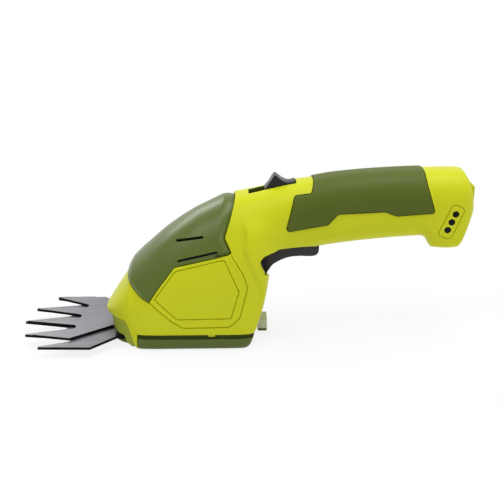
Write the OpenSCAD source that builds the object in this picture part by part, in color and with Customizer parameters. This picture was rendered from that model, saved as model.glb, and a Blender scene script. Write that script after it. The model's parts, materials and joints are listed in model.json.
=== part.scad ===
// Cordless grass shears: a split housing with a motor hood, a geared crank that swings a cutter
// over a fixed comb, two cells in the handle, a trigger, a lock-out slider and a base cover.
// X runs from the blade tips to the rear of the handle, Y across, Z up from the ground, in mm.

/* [Body] */
// Length of the body, nose to throat
body_l = 115; // [108:1:124]
// Width of the body
body_w = 70; // [67:1:78]
// Height of the hood at its rear edge
body_h = 104; // [101:1:110]
// Wall of the mouldings
wall = 2.4; // [2:0.1:2.8]
// Height of the seam over the base cover
seam_z = 12; // [11:0.5:13]
// Height of the lip over the blades
lip_z = 18; // [17:0.5:20]
// Width of the mouth
mouth_w = 56; // [53:1:58]

/* [Handle] */
// Length of the handle, throat to rear
handle_l = 141.6; // [136:0.2:154]
// Width of the handle
handle_w = 42; // [39:1:47]
// Rise of the handle's top over the hood
neck_rise = 17.2; // [14:0.2:22]
// Thickness of the handle at its waist
handle_h = 47; // [46.5:0.5:52]
// Thickness of the grip skins
grip_t = 1; // [0.6:0.1:1.4]
// Reach of the check button behind the handle
button_proud = 1.4; // [0.5:0.1:3]

/* [Blades] */
// Reach of the comb's middle tooth ahead of the nose
blade_reach = 60; // [54:1:68]
// Width of the comb over its outer teeth
blade_w = 88; // [82:1:98]
// Thickness of each blade
blade_t = 1.8; // [1.4:0.1:2]
// Height of the comb's underside
blade_z = 6; // [5.8:0.1:6.4]
// Running gap between comb and cutter
blade_gap = 0.2; // [0.15:0.05:0.4]
// Swing of the cutter to each side of the middle, in degrees
swing = 6.2; // [5:0.2:8]
// Distance of the cutter's pivot behind the nose, as a share of the body's length
pivot_share = 0.10435; // [0.095:0.0005:0.122]

/* [Drive] */
// Distance of the crank behind the cutter's pivot, as a share of the body's length
crank_share = 0.26087; // [0.243:0.0005:0.278]
// Module of the gears
gear_module = 0.8; // [0.7:0.05:0.85]
// Teeth of the pinion
pinion_teeth = 11; // [11:1:12]
// Teeth of the crank gear
crank_teeth = 44; // [40:1:46]
// Face width of the crank gear
gear_t = 6; // [5:0.5:7]
// Diameter of the motor
motor_d = 36; // [34:0.5:38]
// Height of the motor's top, as a share of the body's height
motor_share = 0.71; // [0.67:0.005:0.715]
// Thickness of the gear frame's plate
plate_t = 3; // [2.5:0.5:4]

/* [Power] */
// Diameter of a battery cell
cell_d = 18.4; // [17:0.2:18.8]
// Length of a battery cell
cell_l = 65.2; // [60:0.2:66]
// Bore of the charging jack
jack_bore = 5.5; // [4:0.1:6]

/* [Controls] */
// Width of the trigger
trigger_w = 15; // [12:0.5:17]
// Pull of the trigger, in degrees
trigger_pull = 8; // [5:0.5:9]
// Width of the lock-out slider's slot
slot_w = 10.4; // [9:0.2:12]
// Travel of the lock-out slider
slider_travel = 9; // [6:0.5:10]
// Width of the check button
button_w = 15; // [12:0.5:17]

/* [Hidden] */
$fn = 48;
// clearances
joint_gap = 0.3;
run_gap = 0.05;
fit_gap = 0.1;
seat_gap = 0.2;
skin_gap = 0.02;
bush_gap = 0.03;
// places along the length
overall_l = blade_reach + body_l + handle_l + button_proud;
tip_x = -overall_l / 2;
nose_x = tip_x + blade_reach;
throat_x = nose_x + body_l;
rear_x = throat_x + handle_l;
end_x = rear_x + button_proud;
function bx(s) = nose_x + s * body_l;
function hx(s) = throat_x + s * handle_l;

// side outline of the housing: shares of the length and of the height
top_body_shares = [
    [0, 0.206], [0.076, 0.336], [0.146, 0.458], [0.174, 0.53], [0.219, 0.586], [0.283, 0.651],
    [0.365, 0.732], [0.461, 0.808], [0.557, 0.872], [0.649, 0.925], [0.743, 0.975], [0.797, 1],
    [0.887, 1.017]];
top_handle_shares = [
    [0, 0.897], [0.141, 0.932], [0.22, 0.945], [0.316, 0.965], [0.471, 0.983], [0.595, 0.992],
    [0.742, 0.998], [0.905, 1], [0.95, 0.995], [0.972, 0.963], [0.985, 0.925], [1, 0.83]];
under_share = 1.272;
handle_top = body_h + neck_rise;
under_z = handle_top - under_share * handle_h;
lip_rise_share = 1.14;
lip_share = 0.139;
leg_share = 0.2045;
heel_share = 0.861;
rear_wall_shares = [
    [0.887, 0.02], [0.905, 0.073], [0.922, 0.163], [0.96, 0.342], [0.988, 0.529], [1.007, 0.733],
    [1.015, 0.863]];
under_shares = [
    [0.028, 1.313], [0.042, 1.272], [0.13, 1.219], [0.261, 1.14], [0.424, 1.068], [0.6, 1.01],
    [0.71, 0.981], [0.761, 0.968], [0.78, 1.004], [0.7945, 1.057], [0.812, 1.111], [0.927, 1.111],
    [0.941, 1.079], [0.96, 0.962], [0.98, 0.791], [1, 0.62]];
// plan outline: shares of the length and of the half width
body_half_shares = [
    [0, 0.14], [0.026, 0.4], [0.052, 0.543], [0.087, 0.7], [0.139, 0.857], [0.2, 0.943],
    [0.261, 0.986], [0.348, 1], [0.609, 1], [0.783, 1], [0.87, 0.985],
    [0.922, 0.93], [0.957, 0.84]];
handle_half_shares = [
    [0.035, 1.143], [0.141, 1.038], [0.319, 1], [0.6, 1], [0.777, 1.02], [0.883, 1.07],
    [0.945, 1.05], [0.975, 0.97], [1, 0.75]];
// height of the widest line, and how boxy the section is above and below it
waist_body_shares = [[0, 0.5], [0.14, 0.3], [0.35, 0.32], [0.6, 0.3], [0.87, 0.3], [0.957, 0.35]];
waist_handle_shares = [[0.035, 0.5], [1, 0.5]];
over_body_shares = [[0, 2.4], [0.35, 2.3], [0.6, 2.3], [0.87, 2.6]];
over_handle_shares = [[0.035, 2.7], [0.3, 2.6], [1, 2.8]];
below_body_shares = [[0, 5], [0.26, 14], [0.87, 14], [0.974, 5]];
below_handle_shares = [[0.035, 2.8], [0.3, 2.6], [0.77, 3], [0.87, 5], [1, 3]];
// where the sections stand
body_station_shares = [
    0, 0.026, 0.052, 0.087, 0.12, 0.139, 0.16, 0.18, 0.2045, 0.25, 0.31, 0.38, 0.46, 0.55, 0.64, 0.72,
    0.8, 0.861, 0.887, 0.903, 0.925, 0.95, 0.978, 1];
handle_station_shares = [
    0.01, 0.028, 0.05, 0.09, 0.14, 0.22, 0.32, 0.44, 0.56, 0.66, 0.735, 0.765, 0.785, 0.803, 0.825,
    0.87, 0.905, 0.927, 0.945, 0.967, 0.985, 1];
ring_steps = 12;
flat_share = 1.01;

handle_rise_share = 2.5787;
function handle_z(s) = handle_top - (1 - s) * handle_rise_share * handle_h;
function handle_rise_line(t) = [for (p = t) [hx(p[0]), handle_z(p[1])]];
function body_line(t, size) = [for (p = t) [bx(p[0]), p[1] * size]];
function handle_line(t, size) = [for (p = t) [hx(p[0]), p[1] * size]];
top_line = concat(body_line(top_body_shares, body_h), handle_rise_line(top_handle_shares));
bottom_line = concat(
    [[nose_x, lip_rise_share * lip_z], [bx(lip_share), lip_z], [bx(leg_share), 0], [bx(heel_share), 0]],
    body_line(rear_wall_shares, under_z),
    [for (p = under_shares) [hx(p[0]), handle_top - p[1] * handle_h]]);
half_line = concat(
    body_line(body_half_shares, body_w / 2), handle_line(handle_half_shares, handle_w / 2));
waist_line = concat(body_line(waist_body_shares, 1), handle_line(waist_handle_shares, 1));
over_line = concat(body_line(over_body_shares, 1), handle_line(over_handle_shares, 1));
below_line = concat(body_line(below_body_shares, 1), handle_line(below_handle_shares, 1));

// smooth line through a table of points, without overshoot
function cell(x, t, i = 0) = i >= len(t) - 2 || x < t[i + 1][0] ? i : cell(x, t, i + 1);
function rise(t, i) = (t[i + 1][1] - t[i][1]) / (t[i + 1][0] - t[i][0]);
function slope(t, i) =
    i == 0 ? rise(t, 0) :
    i == len(t) - 1 ? rise(t, i - 1) :
    let (a = rise(t, i - 1), b = rise(t, i))
    a * b <= 0 ? 0 : 2 * a * b / (a + b);
function span(s, h, t, i) =
    (1 + 2 * s) * (1 - s) ^ 2 * t[i][1] + s * (1 - s) ^ 2 * h * slope(t, i)
    + s ^ 2 * (3 - 2 * s) * t[i + 1][1] + s ^ 2 * (s - 1) * h * slope(t, i + 1);
function curve(x, t) =
    x <= t[0][0] ? t[0][1] :
    x >= t[len(t) - 1][0] ? t[len(t) - 1][1] :
    let (i = cell(x, t), h = t[i + 1][0] - t[i][0])
    span((x - t[i][0]) / h, h, t, i);

// the section at x, drawn in by d (out where d is negative)
function low_of(x, d, t) = min(curve(x - d, t), curve(x, t), curve(x + d, t));
function high_of(x, d, t) = max(curve(x - d, t), curve(x, t), curve(x + d, t));
function top_at(x, d = 0) = d <= 0 ? curve(x, top_line) - d : low_of(x, d, top_line) - d;
function bottom_at(x, d = 0) = d <= 0 ? curve(x, bottom_line) + d : high_of(x, d, bottom_line) + d;
function half_at(x, d = 0) = d <= 0 ? curve(x, half_line) - d : low_of(x, d, half_line) - d;
function waist_at(x, d = 0) =
    let (b = bottom_at(x, d))
    b + curve(x, waist_line) * (top_at(x, d) - b);
function skin_y(x, z, d = 0) =
    let (c = waist_at(x, d), up = z >= c, n = curve(x, up ? over_line : below_line))
    let (k = up ? (z - c) / (top_at(x, d) - c) : (c - z) / (c - bottom_at(x, d)) / flat_share)
    half_at(x, d) * max(0, 1 - min(1, k) ^ n) ^ (1 / n);
function ring_point(x, d, j) =
    let (t = 90 - 180 * (j % (2 * ring_steps)) / ring_steps, c = waist_at(x, d), up = sin(t) >= 0)
    let (n = curve(x, up ? over_line : below_line), h = up ? top_at(x, d) - c : c - bottom_at(x, d))
    let (across = j % ring_steps == 0 ? 0 : abs(cos(t)) ^ (2 / n), along = abs(sin(t)) ^ (2 / n))
    [x, -sign(cos(t)) * half_at(x, d) * across, up ? c + h * along : c - h * min(1, flat_share * along)];

stations = concat([for (s = body_station_shares) bx(s)], [for (s = handle_station_shares) hx(s)]);
function hollow(x) =
    x > nose_x + wall && x < rear_x - wall && half_at(x, wall) > wall
    && top_at(x, wall) - bottom_at(x, wall) > 2 * wall;
inner_stations = concat([for (x = stations) if (hollow(x)) x], []);
function picked(a, b) = [for (x = stations) if (x > a && x < b) x];
function within(a, b, list) = concat([a], [for (x = list) if (x > a + wall && x < b - wall) x], [b]);

// solid through the sections at the given stations: the left half, or the whole
module half_loft(xs, d) {
    n = ring_steps + 1;
    last = len(xs) - 1;
    polyhedron(
        points = [for (x = xs) for (j = [0 : ring_steps]) ring_point(x, d, j)],
        faces = concat(
            [for (i = [0 : last - 1]) for (j = [0 : ring_steps - 1]) for (f = [0, 1])
                f == 0 ? [i * n + j, (i + 1) * n + j, (i + 1) * n + j + 1]
                       : [i * n + j, (i + 1) * n + j + 1, i * n + j + 1]],
            [for (i = [0 : last - 1]) for (f = [0, 1])
                f == 0 ? [(i + 1) * n, i * n, i * n + ring_steps]
                       : [(i + 1) * n, i * n + ring_steps, (i + 1) * n + ring_steps]],
            [[for (j = [0 : ring_steps]) j]],
            [[for (j = [ring_steps : -1 : 0]) last * n + j]]));
}
module full_loft(xs, d) {
    n = 2 * ring_steps;
    last = len(xs) - 1;
    polyhedron(
        points = [for (x = xs) for (j = [0 : n - 1]) ring_point(x, d, j)],
        faces = concat(
            [for (i = [0 : last - 1]) for (j = [0 : n - 1]) for (f = [0, 1])
                let (k = (j + 1) % n)
                f == 0 ? [i * n + j, (i + 1) * n + j, (i + 1) * n + k]
                       : [i * n + j, (i + 1) * n + k, i * n + k]],
            [[for (j = [0 : n - 1]) j]],
            [[for (j = [n - 1 : -1 : 0]) last * n + j]]));
}
// outline in X and Z, run across Y
module across(points, y0, y1) {
    translate([0, y1, 0]) rotate([90, 0, 0]) linear_extrude(y1 - y0) polygon(points);
}
// box between two corners
module block(a, b) {
    translate(a) cube(b - a);
}
// rod along Y
module rod_y(x, z, r, y0, y1) {
    translate([x, y1, z]) rotate([90, 0, 0]) cylinder(r = r, h = y1 - y0);
}
// round wire along a path, its rings kept square to the reference direction
function unit(v) = v / norm(v);
function along(p, i) = unit(p[min(i + 1, len(p) - 1)] - p[max(i - 1, 0)]);
wire_sides = 6;
module wire(p, r, up) {
    last = len(p) - 1;
    polyhedron(
        points = [for (i = [0 : last]) for (k = [0 : wire_sides - 1])
            let (t = along(p, i), n = unit(cross(t, up)), b = cross(t, n), a = 360 * k / wire_sides)
            p[i] + r * (cos(a) * n + sin(a) * b)],
        faces = concat(
            [for (i = [0 : last - 1]) for (k = [0 : wire_sides - 1]) for (f = [0, 1])
                let (m = (k + 1) % wire_sides, u = i * wire_sides, v = u + wire_sides)
                f == 0 ? [u + k, v + k, v + m] : [u + k, v + m, u + m]],
            [[for (k = [0 : wire_sides - 1]) k]],
            [[for (k = [wire_sides - 1 : -1 : 0]) last * wire_sides + k]]));
}
curl_rings = 8;
module coil(r, h, turns, wire_r) {
    steps = turns * curl_rings;
    wire([for (i = [0 : steps])
        let (a = 360 * i / curl_rings)
        [r * cos(a), r * sin(a), wire_r + (h - 2 * wire_r) * i / steps]],
        wire_r, [0, 0, 1]);
}
lead_steps = 4;
function lead(p) = [for (i = [0 : lead_steps * (len(p) - 1)])
    [for (c = [0 : 2]) curve(i / lead_steps, [for (k = [0 : len(p) - 1]) [k, p[k][c]]])]];

// heights of the blades and the drive
comb_top = blade_z + blade_t;
cutter_z = comb_top + blade_gap;
cutter_top = cutter_z + blade_t;
yoke_t = 3;
yoke_top = cutter_top + yoke_t;
drive_gap = 1;
cam_z = cutter_top + 0.4 * drive_gap;
gear_z = yoke_top + drive_gap;
gear_top = gear_z + gear_t;
plate_z = gear_top + drive_gap;
plate_top = plate_z + plate_t;
motor_top = motor_share * body_h;
motor_l = motor_top - plate_top;
// places of the drive
pivot_back = pivot_share * body_l;
crank_back = crank_share * body_l;
pivot_x = nose_x + pivot_back;
crank_x = pivot_x + crank_back;
throw = crank_back * tan(swing);
centre_l = gear_module * (pinion_teeth + crank_teeth) / 2;
motor_x = crank_x + centre_l;
pivot_r = 3;
axle_r = 2.5;
cam_r = 7;
cam_play = 0.9;
prong_w = 5;
hub_r = 6;
shaft_r = 1.6;
// gear frame
post_r = 4;
post_y = 19;
front_post_back = 11.5;
rear_post_back = 6;
front_post_x = pivot_x + front_post_back;
rear_post_x = motor_x + rear_post_back;
frame_half = 25.5;
frame_x0 = front_post_x - post_r;
frame_x1 = motor_x + motor_d / 2 + post_r;
screw_r = 1.45;
head_r = 2.7;
head_t = 1.6;
screw_tail = 0.6;
posts = [[front_post_x, comb_top], [rear_post_x, blade_z]];
motor_screw_y = 12.5;
pilot_r = 5.5;
pilot_t = 2;

// comb and cutter outlines: forward reach and side shares
comb_tip_shares = [[1, 0], [0.937, 0.504], [0.74, 0.962]];
comb_valley_shares = [[0.497, 0.253], [0.41, 0.71]];
comb_edge_share = 0.18;
comb_root_share = -0.08;
root_gap = 1.5;
comb_root_half = mouth_w / 2 - root_gap;
comb_lap = 4;
tooth_tip = 1.6;
valley_half = 3.2;
comb_back_x = front_post_x + post_r;
comb_reach = nose_x + pivot_back - tip_x;
function comb_x(s) = nose_x + comb_lap - s * (blade_reach + comb_lap);
function mirror_y(p) = [for (i = [len(p) - 1 : -1 : 0]) [p[i][0], -p[i][1]]];
function tooth(x, y, w) = [[x, y - w / 2], [x, y + w / 2]];
function valley(x, y, w) = [
    [x - w * 0.6, y - w], [x, y - w / 2], [x, y + w / 2], [x - w * 0.6, y + w]];
comb_half = [
    for (q = [
        [[comb_x(1), tooth_tip / 2]],
        valley(comb_x(comb_valley_shares[0][0]), comb_valley_shares[0][1] * blade_w / 2, valley_half),
        tooth(comb_x(comb_tip_shares[1][0]), comb_tip_shares[1][1] * blade_w / 2, tooth_tip),
        valley(comb_x(comb_valley_shares[1][0]), comb_valley_shares[1][1] * blade_w / 2, valley_half),
        tooth(comb_x(comb_tip_shares[2][0]), comb_tip_shares[2][1] * blade_w / 2, tooth_tip),
        [[comb_x(comb_edge_share), blade_w / 2], [comb_x(comb_root_share), comb_root_half],
         [comb_back_x, comb_root_half]]]) for (p = q) p];
cutter_short = 3.4;
cutter_reach = comb_reach - cutter_short;
cutter_tip_shares = [[1, 0.249], [0.855, 0.75]];
cutter_valley_shares = [[0.475, 0], [0.465, 0.42]];
cutter_corner_shares = [0.455, 0.84];
cutter_root_shares = [0.09, 0.3];
cutter_root_half = 13;
cutter_tail = 15;
function cut_x(s) = -s * cutter_reach;
cutter_half = [
    for (q = [
        [[cut_x(cutter_valley_shares[0][0]), valley_half / 2],
         [cut_x(cutter_valley_shares[0][0]) - valley_half * 0.6, valley_half]],
        tooth(cut_x(1), cutter_tip_shares[0][1] * blade_w / 2, tooth_tip),
        valley(cut_x(cutter_valley_shares[1][0]), cutter_valley_shares[1][1] * blade_w / 2, valley_half),
        tooth(cut_x(cutter_tip_shares[1][0]), cutter_tip_shares[1][1] * blade_w / 2, tooth_tip),
        [[cut_x(cutter_corner_shares[0]), cutter_corner_shares[1] * blade_w / 2],
         [cut_x(cutter_root_shares[0]), cutter_root_half], [cutter_tail, cutter_root_half - prong_w]]])
    for (p = q) p];

// hood, grip and cover outlines: shares of body and handle length and of the heights
hood_shares = [
    [0.06, 0.59], [0.155, 0.462], [0.183, 0.433], [0.226, 0.387], [0.287, 0.346], [0.342, 0.435],
    [0.442, 0.581], [0.761, 0.669], [0.784, 0.688], [0.744, 0.779], [0.783, 0.912], [0.812, 1.02],
    [0.812, 1.3], [0.06, 1.3]];
hood_proud = 0.2;
hood_end_shares = [0.08, 0.83, 0.1, 0.9];
hood_points = [for (p = hood_shares) [bx(p[0]), p[1] * body_h]];
grip_shares = [
    [0.221, 1.05], [0.21, 0.894], [0.13, 0.883], [0.091, 0.705], [0.101, 0.689], [0.28, 0.723],
    [0.335, 0.788], [0.564, 0.801], [0.62, 0.775], [0.8, 0.793], [0.75, 1.05]];
grip_end_shares = [0.04, 0.83, 0.02, 0.9];
grip_points = handle_rise_line(grip_shares);
leg_x = bx(leg_share) + 0.1 * wall;
vent_shares = [[0.462, 0.735, 0.616, 0.771], [0.47, 0.623, 0.698, 0.688]];
vent_w = 2.4;

// trigger and its neighbours
trigger_back = 3;
trigger_rise = 4.6;
trigger_x = throat_x + trigger_back;
trigger_z = under_z + trigger_rise;
pin_r = 1.5;
trigger_hub = 4.4;
boss_r = 4.2;
trigger_y = trigger_w / 2;
trigger_reach = 33.6;
trigger_head = 5.5;
trigger_top = trigger_z + trigger_head;
trigger_shares = [
    [-0.157, -0.607], [-0.09, -0.54], [0.01, -0.395], [0.085, -0.328], [0.24, -0.245], [0.418, -0.192],
    [0.615, -0.176], [0.808, -0.183], [0.927, -0.165], [0.984, -0.11], [1, -0.03]];
trigger_front_shares = [[-0.134, 0.03], [-0.207, -0.26], [-0.222, -0.355], [-0.2, -0.46]];
trigger_points = concat(
    [for (p = trigger_shares) [trigger_x, trigger_z] + trigger_reach * p],
    [[trigger_x + trigger_reach, trigger_top], [trigger_x, trigger_top]],
    [for (p = trigger_front_shares) [trigger_x, trigger_z] + trigger_reach * p]);
trigger_slot_x0 = trigger_x - 0.24 * trigger_reach;
trigger_slot_x1 = trigger_x + trigger_reach + 3 * joint_gap;
trigger_slot_z0 = trigger_z - 0.64 * trigger_reach;
pin_seat = 6;
pin_half = trigger_y + pin_seat;
trigger_lift = trigger_reach * sin(trigger_pull);
// trigger switch, over the trigger
switch_l = 20;
switch_t = 6.4;
switch_h = 10;
switch_back = 2;
switch_x = trigger_x + switch_back;
plunger_x = switch_x + 0.75 * switch_l;
plunger_r = 1.4;
plunger_in = 2;
plunger_room = 3;
plunger_lift = (plunger_x - trigger_x) * sin(trigger_pull);
switch_z = trigger_top + trigger_lift + joint_gap;
spring_r = 2.6;
spring_wire = 0.4;
spring_x = trigger_x + 0.86 * trigger_reach;
spring_l = 12;
seat_t = 2.6;
seat_edge = 1;

// lock-out slider: its slot lies along the top of the neck
slot_shares = [0.887, 0.141];
dip_allow = 0.5;
slot_x0 = bx(slot_shares[0]);
slot_x1 = hx(slot_shares[1]);
slot_x = (slot_x0 + slot_x1) / 2;
slot_tilt = atan2(top_at(slot_x1) - top_at(slot_x0), slot_x1 - slot_x0);
slot_l = (slot_x1 - slot_x0) / cos(slot_tilt);
slot_chord_z = (top_at(slot_x0) + top_at(slot_x1)) / 2;
slot_lifts = [for (s = [0 : 0.1 : 1]) let (x = slot_x0 + s * (slot_x1 - slot_x0))
    top_at(x) - slot_chord_z - (x - slot_x) * tan(slot_tilt)];
slot_dip = max(0, -min(slot_lifts) - dip_allow);
slot_rise = max(0, max(slot_lifts)) + slot_dip;
slot_z = slot_chord_z - slot_dip;
slider_sink = 2;
slider_drop = wall + slider_sink;
slider_t = 2.2;
slider_lead = 1.4;
slider_tail = 0.8;
slider_u0 = slider_travel - slot_l / 2 + slider_lead;
slider_u1 = slot_l / 2 - slider_tail;
thumb_h = 7.6;
thumb_base = 0.6;
slider_flange = 1.6;
thumb_shares = [
    [0, 0], [0.3, 0.95], [0.34, 1], [0.4, 0.97], [0.47, 0.66], [0.56, 0.38], [0.7, 0.12], [1, 0.03],
    [1, 0]];
slider_spring_rest = 4.5;
slider_spring_l = slider_travel + slider_spring_rest;
slider_spring_r = 1.8;
module on_slot() {
    translate([slot_x, 0, slot_z]) rotate([0, -slot_tilt, 0]) children();
}

// battery cells, one over the other along the handle
cell_share = 0.533;
cell_x = hx(cell_share);
cell_mid = (top_at(cell_x, wall) + bottom_at(cell_x, wall)) / 2;
cell_room = top_at(cell_x, wall) - bottom_at(cell_x, wall);
waist_shares = [0.28, 0.7];
waist_x = [for (s = waist_shares) hx(s)];
waist_z = [for (x = waist_x) (top_at(x) + bottom_at(x)) / 2];
cell_tilt = atan2(waist_z[1] - waist_z[0], waist_x[1] - waist_x[0]);
cell_v = cell_d / 2 + seat_gap;
link_t = 0.4;
link_half = 3.5;
holder_t = 1.4;
holder_low = 3;
holder_half = cell_d * 0.45;
floor_half = cell_d * 0.28;
holder_u = cell_l / 2 + seat_gap + link_t;
holder_v = cell_d + 2 * seat_gap;
rib_u = 0.3 * cell_l;
rib_t = 3;
rib_back = 6;
rib_lap = 2;
module on_cells() {
    translate([cell_x, 0, cell_mid]) rotate([0, -cell_tilt, 0]) children();
}

// control board and indicator, inside the left half at the rear
lamp_shares = [0.8836, 0.739];
lamp_x = hx(lamp_shares[0]);
lamp_z = handle_z(lamp_shares[1]);
lamp_tilt = 67;
lamp_pitch = 6.1;
lens_r = 2.35;
lens_sink = 0.4;
pill_l = 24;
pill_w = 9.5;
pill_r = 3;
pill_proud = 0.2;
pill_y = half_at(lamp_x) + pill_proud;
pill_t = 3.6;
board_depth = 9;
board_y = pill_y - board_depth;
board_l = 22;
board_w0 = -6.2;
board_w1 = 10;
board_t = 1.6;
board_post_r = 1.8;
board_post_u = board_l / 4;
board_post_gap = 1.2;
board_post_w = pill_w / 2 + board_post_r + board_post_gap;
lamp_r = 2.1;
module on_lamps() {
    translate([lamp_x, 0, lamp_z]) rotate([0, -lamp_tilt, 0]) children();
}
lamp_us = [-lamp_pitch, 0, lamp_pitch];
// check button at the rear
button_h = 18.4;
button_share = 0.862;
button_z = handle_z(button_share);
button_depth = 9.5;
button_x0 = rear_x - button_depth;
button_travel = 1.5;
button_flange = 1.6;
button_spring_l = 6;
// charging jack in the foot
jack_share = 0.874;
jack_x = hx(jack_share);
jack_half = 4.2;
jack_h = 11;
jack_z = bottom_at(jack_x, wall) + joint_gap;
jack_pin_r = 0.7;
jack_sink = 1;
// housing screws, across both halves
screw_body_shares = [[0.174, 0.327], [0.8, 0.288], [0.885, 0.885]];
screw_handle_shares = [[0.226, 0.875], [0.8135, 0.628], [0.8685, 0.945]];
screw_places = concat(
    body_line(screw_body_shares, body_h), handle_rise_line(screw_handle_shares));
screw_boss_r = 4;
screw_head_r = 2.8;
sink_r = 3.1;
screw_reach = 8;
screw_spare = 1;
function reach_y(x, z, r) =
    min([for (a = [0 : 30 : 330]) skin_y(x + r * cos(a), z + r * sin(a))]) - 0.5 * wall;
function boss_y(p) = reach_y(p[0], p[1], screw_boss_r);
head_least = 4;
head_most = 10;
head_cover = 3;
function sink_y(p) = max(head_least, min(head_most, boss_y(p) - head_cover));
// base cover and its release tab
cover_x0 = leg_x + joint_gap;
cover_z = seam_z - joint_gap;
cover_shares = [0.087, 0.915];
cover_x1 = bx(cover_shares[1]);
tongue_half = mouth_w / 2 - 3 * joint_gap;
tongue_x = bx(cover_shares[0]);
tongue_z = blade_z - joint_gap;
tongue_gap = 1;
tab_half = 7;
tab_h = 8.6;
tab_z = 2.4;
tab_shares = [0.9425, 1.003];
tab_x0 = bx(tab_shares[0]);
tab_x1 = bx(tab_shares[1]);
tab_lap = 1;
tab_travel = 2.5;
stem_half = 5;
stem_z0 = 4.2;
stem_z1 = 8.6;
stem_share = 0.83;
stem_x0 = bx(stem_share);
latch_l = 3;
latch_x1 = stem_x0 + latch_l;
latch_gap = 1.2;
latch_z = seam_z - latch_gap;
tab_spring_l = 8;

// colours
lime = [0.72, 0.77, 0.14];
olive = [0.33, 0.4, 0.18];
dark = [0.12, 0.12, 0.12];
steel = [0.66, 0.67, 0.69];
brass = [0.72, 0.58, 0.26];
copper = [0.7, 0.4, 0.22];
white = [0.85, 0.85, 0.82];
green = [0.1, 0.35, 0.2];
blue = [0.2, 0.35, 0.6];

// left half with what both halves share; the right half is its mirror image
module half_housing() {
    difference() {
        union() {
            difference() {
                half_loft(stations, 0);
                full_loft(inner_stations, wall);
            }
            frame_ribs();
            for (p = screw_places) rod_y(p[0], p[1], screw_boss_r, -boss_y(p), 0);
            rod_y(trigger_x, trigger_z, boss_r,
                -reach_y(trigger_x, trigger_z, boss_r), -trigger_y - joint_gap);
            switch_rib();
            battery_ribs();
            spring_seats();
        }
        across(mouth_points, -mouth_w / 2, wall);
        block([leg_x, -body_w, -wall], [rear_x, wall, seam_z]);
        hood_opening();
        block([trigger_slot_x0, -trigger_y - joint_gap, trigger_slot_z0],
            [trigger_slot_x1, wall, trigger_top]);
        on_slot() block([-slot_l / 2, -slot_w / 2, -slider_drop], [slot_l / 2, wall, wall + slot_rise]);
        block([button_x0, -button_w / 2 - joint_gap, button_z - button_h / 2 - joint_gap],
            [end_x + wall, wall, button_z + button_h / 2 + joint_gap]);
        translate([jack_x, 0, 0]) cylinder(r = jack_bore / 2 + seat_gap, h = jack_z + wall);
        rod_y(trigger_x, trigger_z, pin_r + run_gap, -pin_half - joint_gap, wall);
    }
}
mouth_share = 0.27;
mouth_points = [
    [nose_x - wall, -wall], [nose_x - wall, lip_z - seat_gap], [bx(lip_share) + wall, lip_z - seat_gap],
    [bx(lip_share) + wall, plate_top + wall], [bx(mouth_share), plate_top + wall],
    [bx(mouth_share), -wall]];
module hood_opening() {
    translate([0, wall, 0]) rotate([90, 0, 0]) linear_extrude(body_w) polygon(hood_points);
}
module frame_ribs() {
    for (x = [crank_x + rib_back, motor_x + motor_d / 2 - rib_lap]) {
        block([x, -skin_y(x, plate_z) + 0.6 * wall, plate_z - rib_t],
            [x + rib_t, -frame_half + rib_lap, plate_z]);
        block([x, -skin_y(x, plate_z) + 0.6 * wall, plate_z - rib_t],
            [x + rib_t, -frame_half - seat_gap, plate_top + rib_t]);
    }
}
module switch_rib() {
    x = switch_x + 0.4 * switch_l;
    block([x, -skin_y(x, switch_z + switch_h / 2) + 0.6 * wall, switch_z + 0.2 * switch_h],
        [x + rib_t, -switch_t / 2 - seat_gap, switch_z + 0.8 * switch_h]);
}
module battery_ribs() {
    on_cells() for (u = [-rib_u, rib_u])
        block([u, -holder_half, -cell_room / 2 - 0.5 * wall],
            [u + rib_t, 0, -holder_v - holder_t - seat_gap]);
}
module spring_seats() {
    seat_z = trigger_top + spring_l + seat_gap;
    block([spring_x - spring_r - seat_edge, -skin_y(spring_x, seat_z) + 0.6 * wall, seat_z],
        [spring_x + spring_r + seat_edge, 0, seat_z + seat_t]);
    u = slider_u0 - slider_spring_l;
    skin_w = (top_at(slot_x + u * cos(slot_tilt)) - slot_z - u * sin(slot_tilt)) * cos(slot_tilt);
    on_slot() block([u - seat_t, -slot_w / 2, -slider_drop - slider_t - slider_sink],
        [u - joint_gap, 0, skin_w - 0.8 * wall]);
    x = button_x0 - button_spring_l - seat_gap;
    block([x - seat_t, -skin_y(x, button_z + spring_r) + 0.6 * wall, button_z - spring_r / 2],
        [x, 0, button_z + spring_r]);
}
module left_housing() color(lime) difference() {
    union() {
        half_housing();
        on_lamps() for (u = [-1, 1])
            rod_y(u * board_post_u, board_post_w, board_post_r, -pill_y + wall, -board_y - board_t);
    }
    on_lamps() pill(pill_l + joint_gap, pill_w + joint_gap, -pill_y - wall, -board_y - board_t - seat_edge);
    for (p = screw_places) rod_y(p[0], p[1], screw_r + fit_gap, -screw_reach - screw_spare, wall);
}
module right_housing() color(lime) difference() {
    mirror([0, 1, 0]) half_housing();
    for (p = screw_places) {
        rod_y(p[0], p[1], screw_r + fit_gap, -wall, body_w);
        rod_y(p[0], p[1], sink_r, sink_y(p), body_w);
    }
}
module pill(l, w, y0, y1) {
    u = l / 2 - pill_r;
    v = w / 2 - pill_r;
    for (a = [-u, u]) for (b = [-v, v]) rod_y(a, b, pill_r, y0, y1);
    block([-u, y0, -w / 2], [u, y1, w / 2]);
    block([-l / 2, y0, -v], [l / 2, y1, v]);
}
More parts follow.
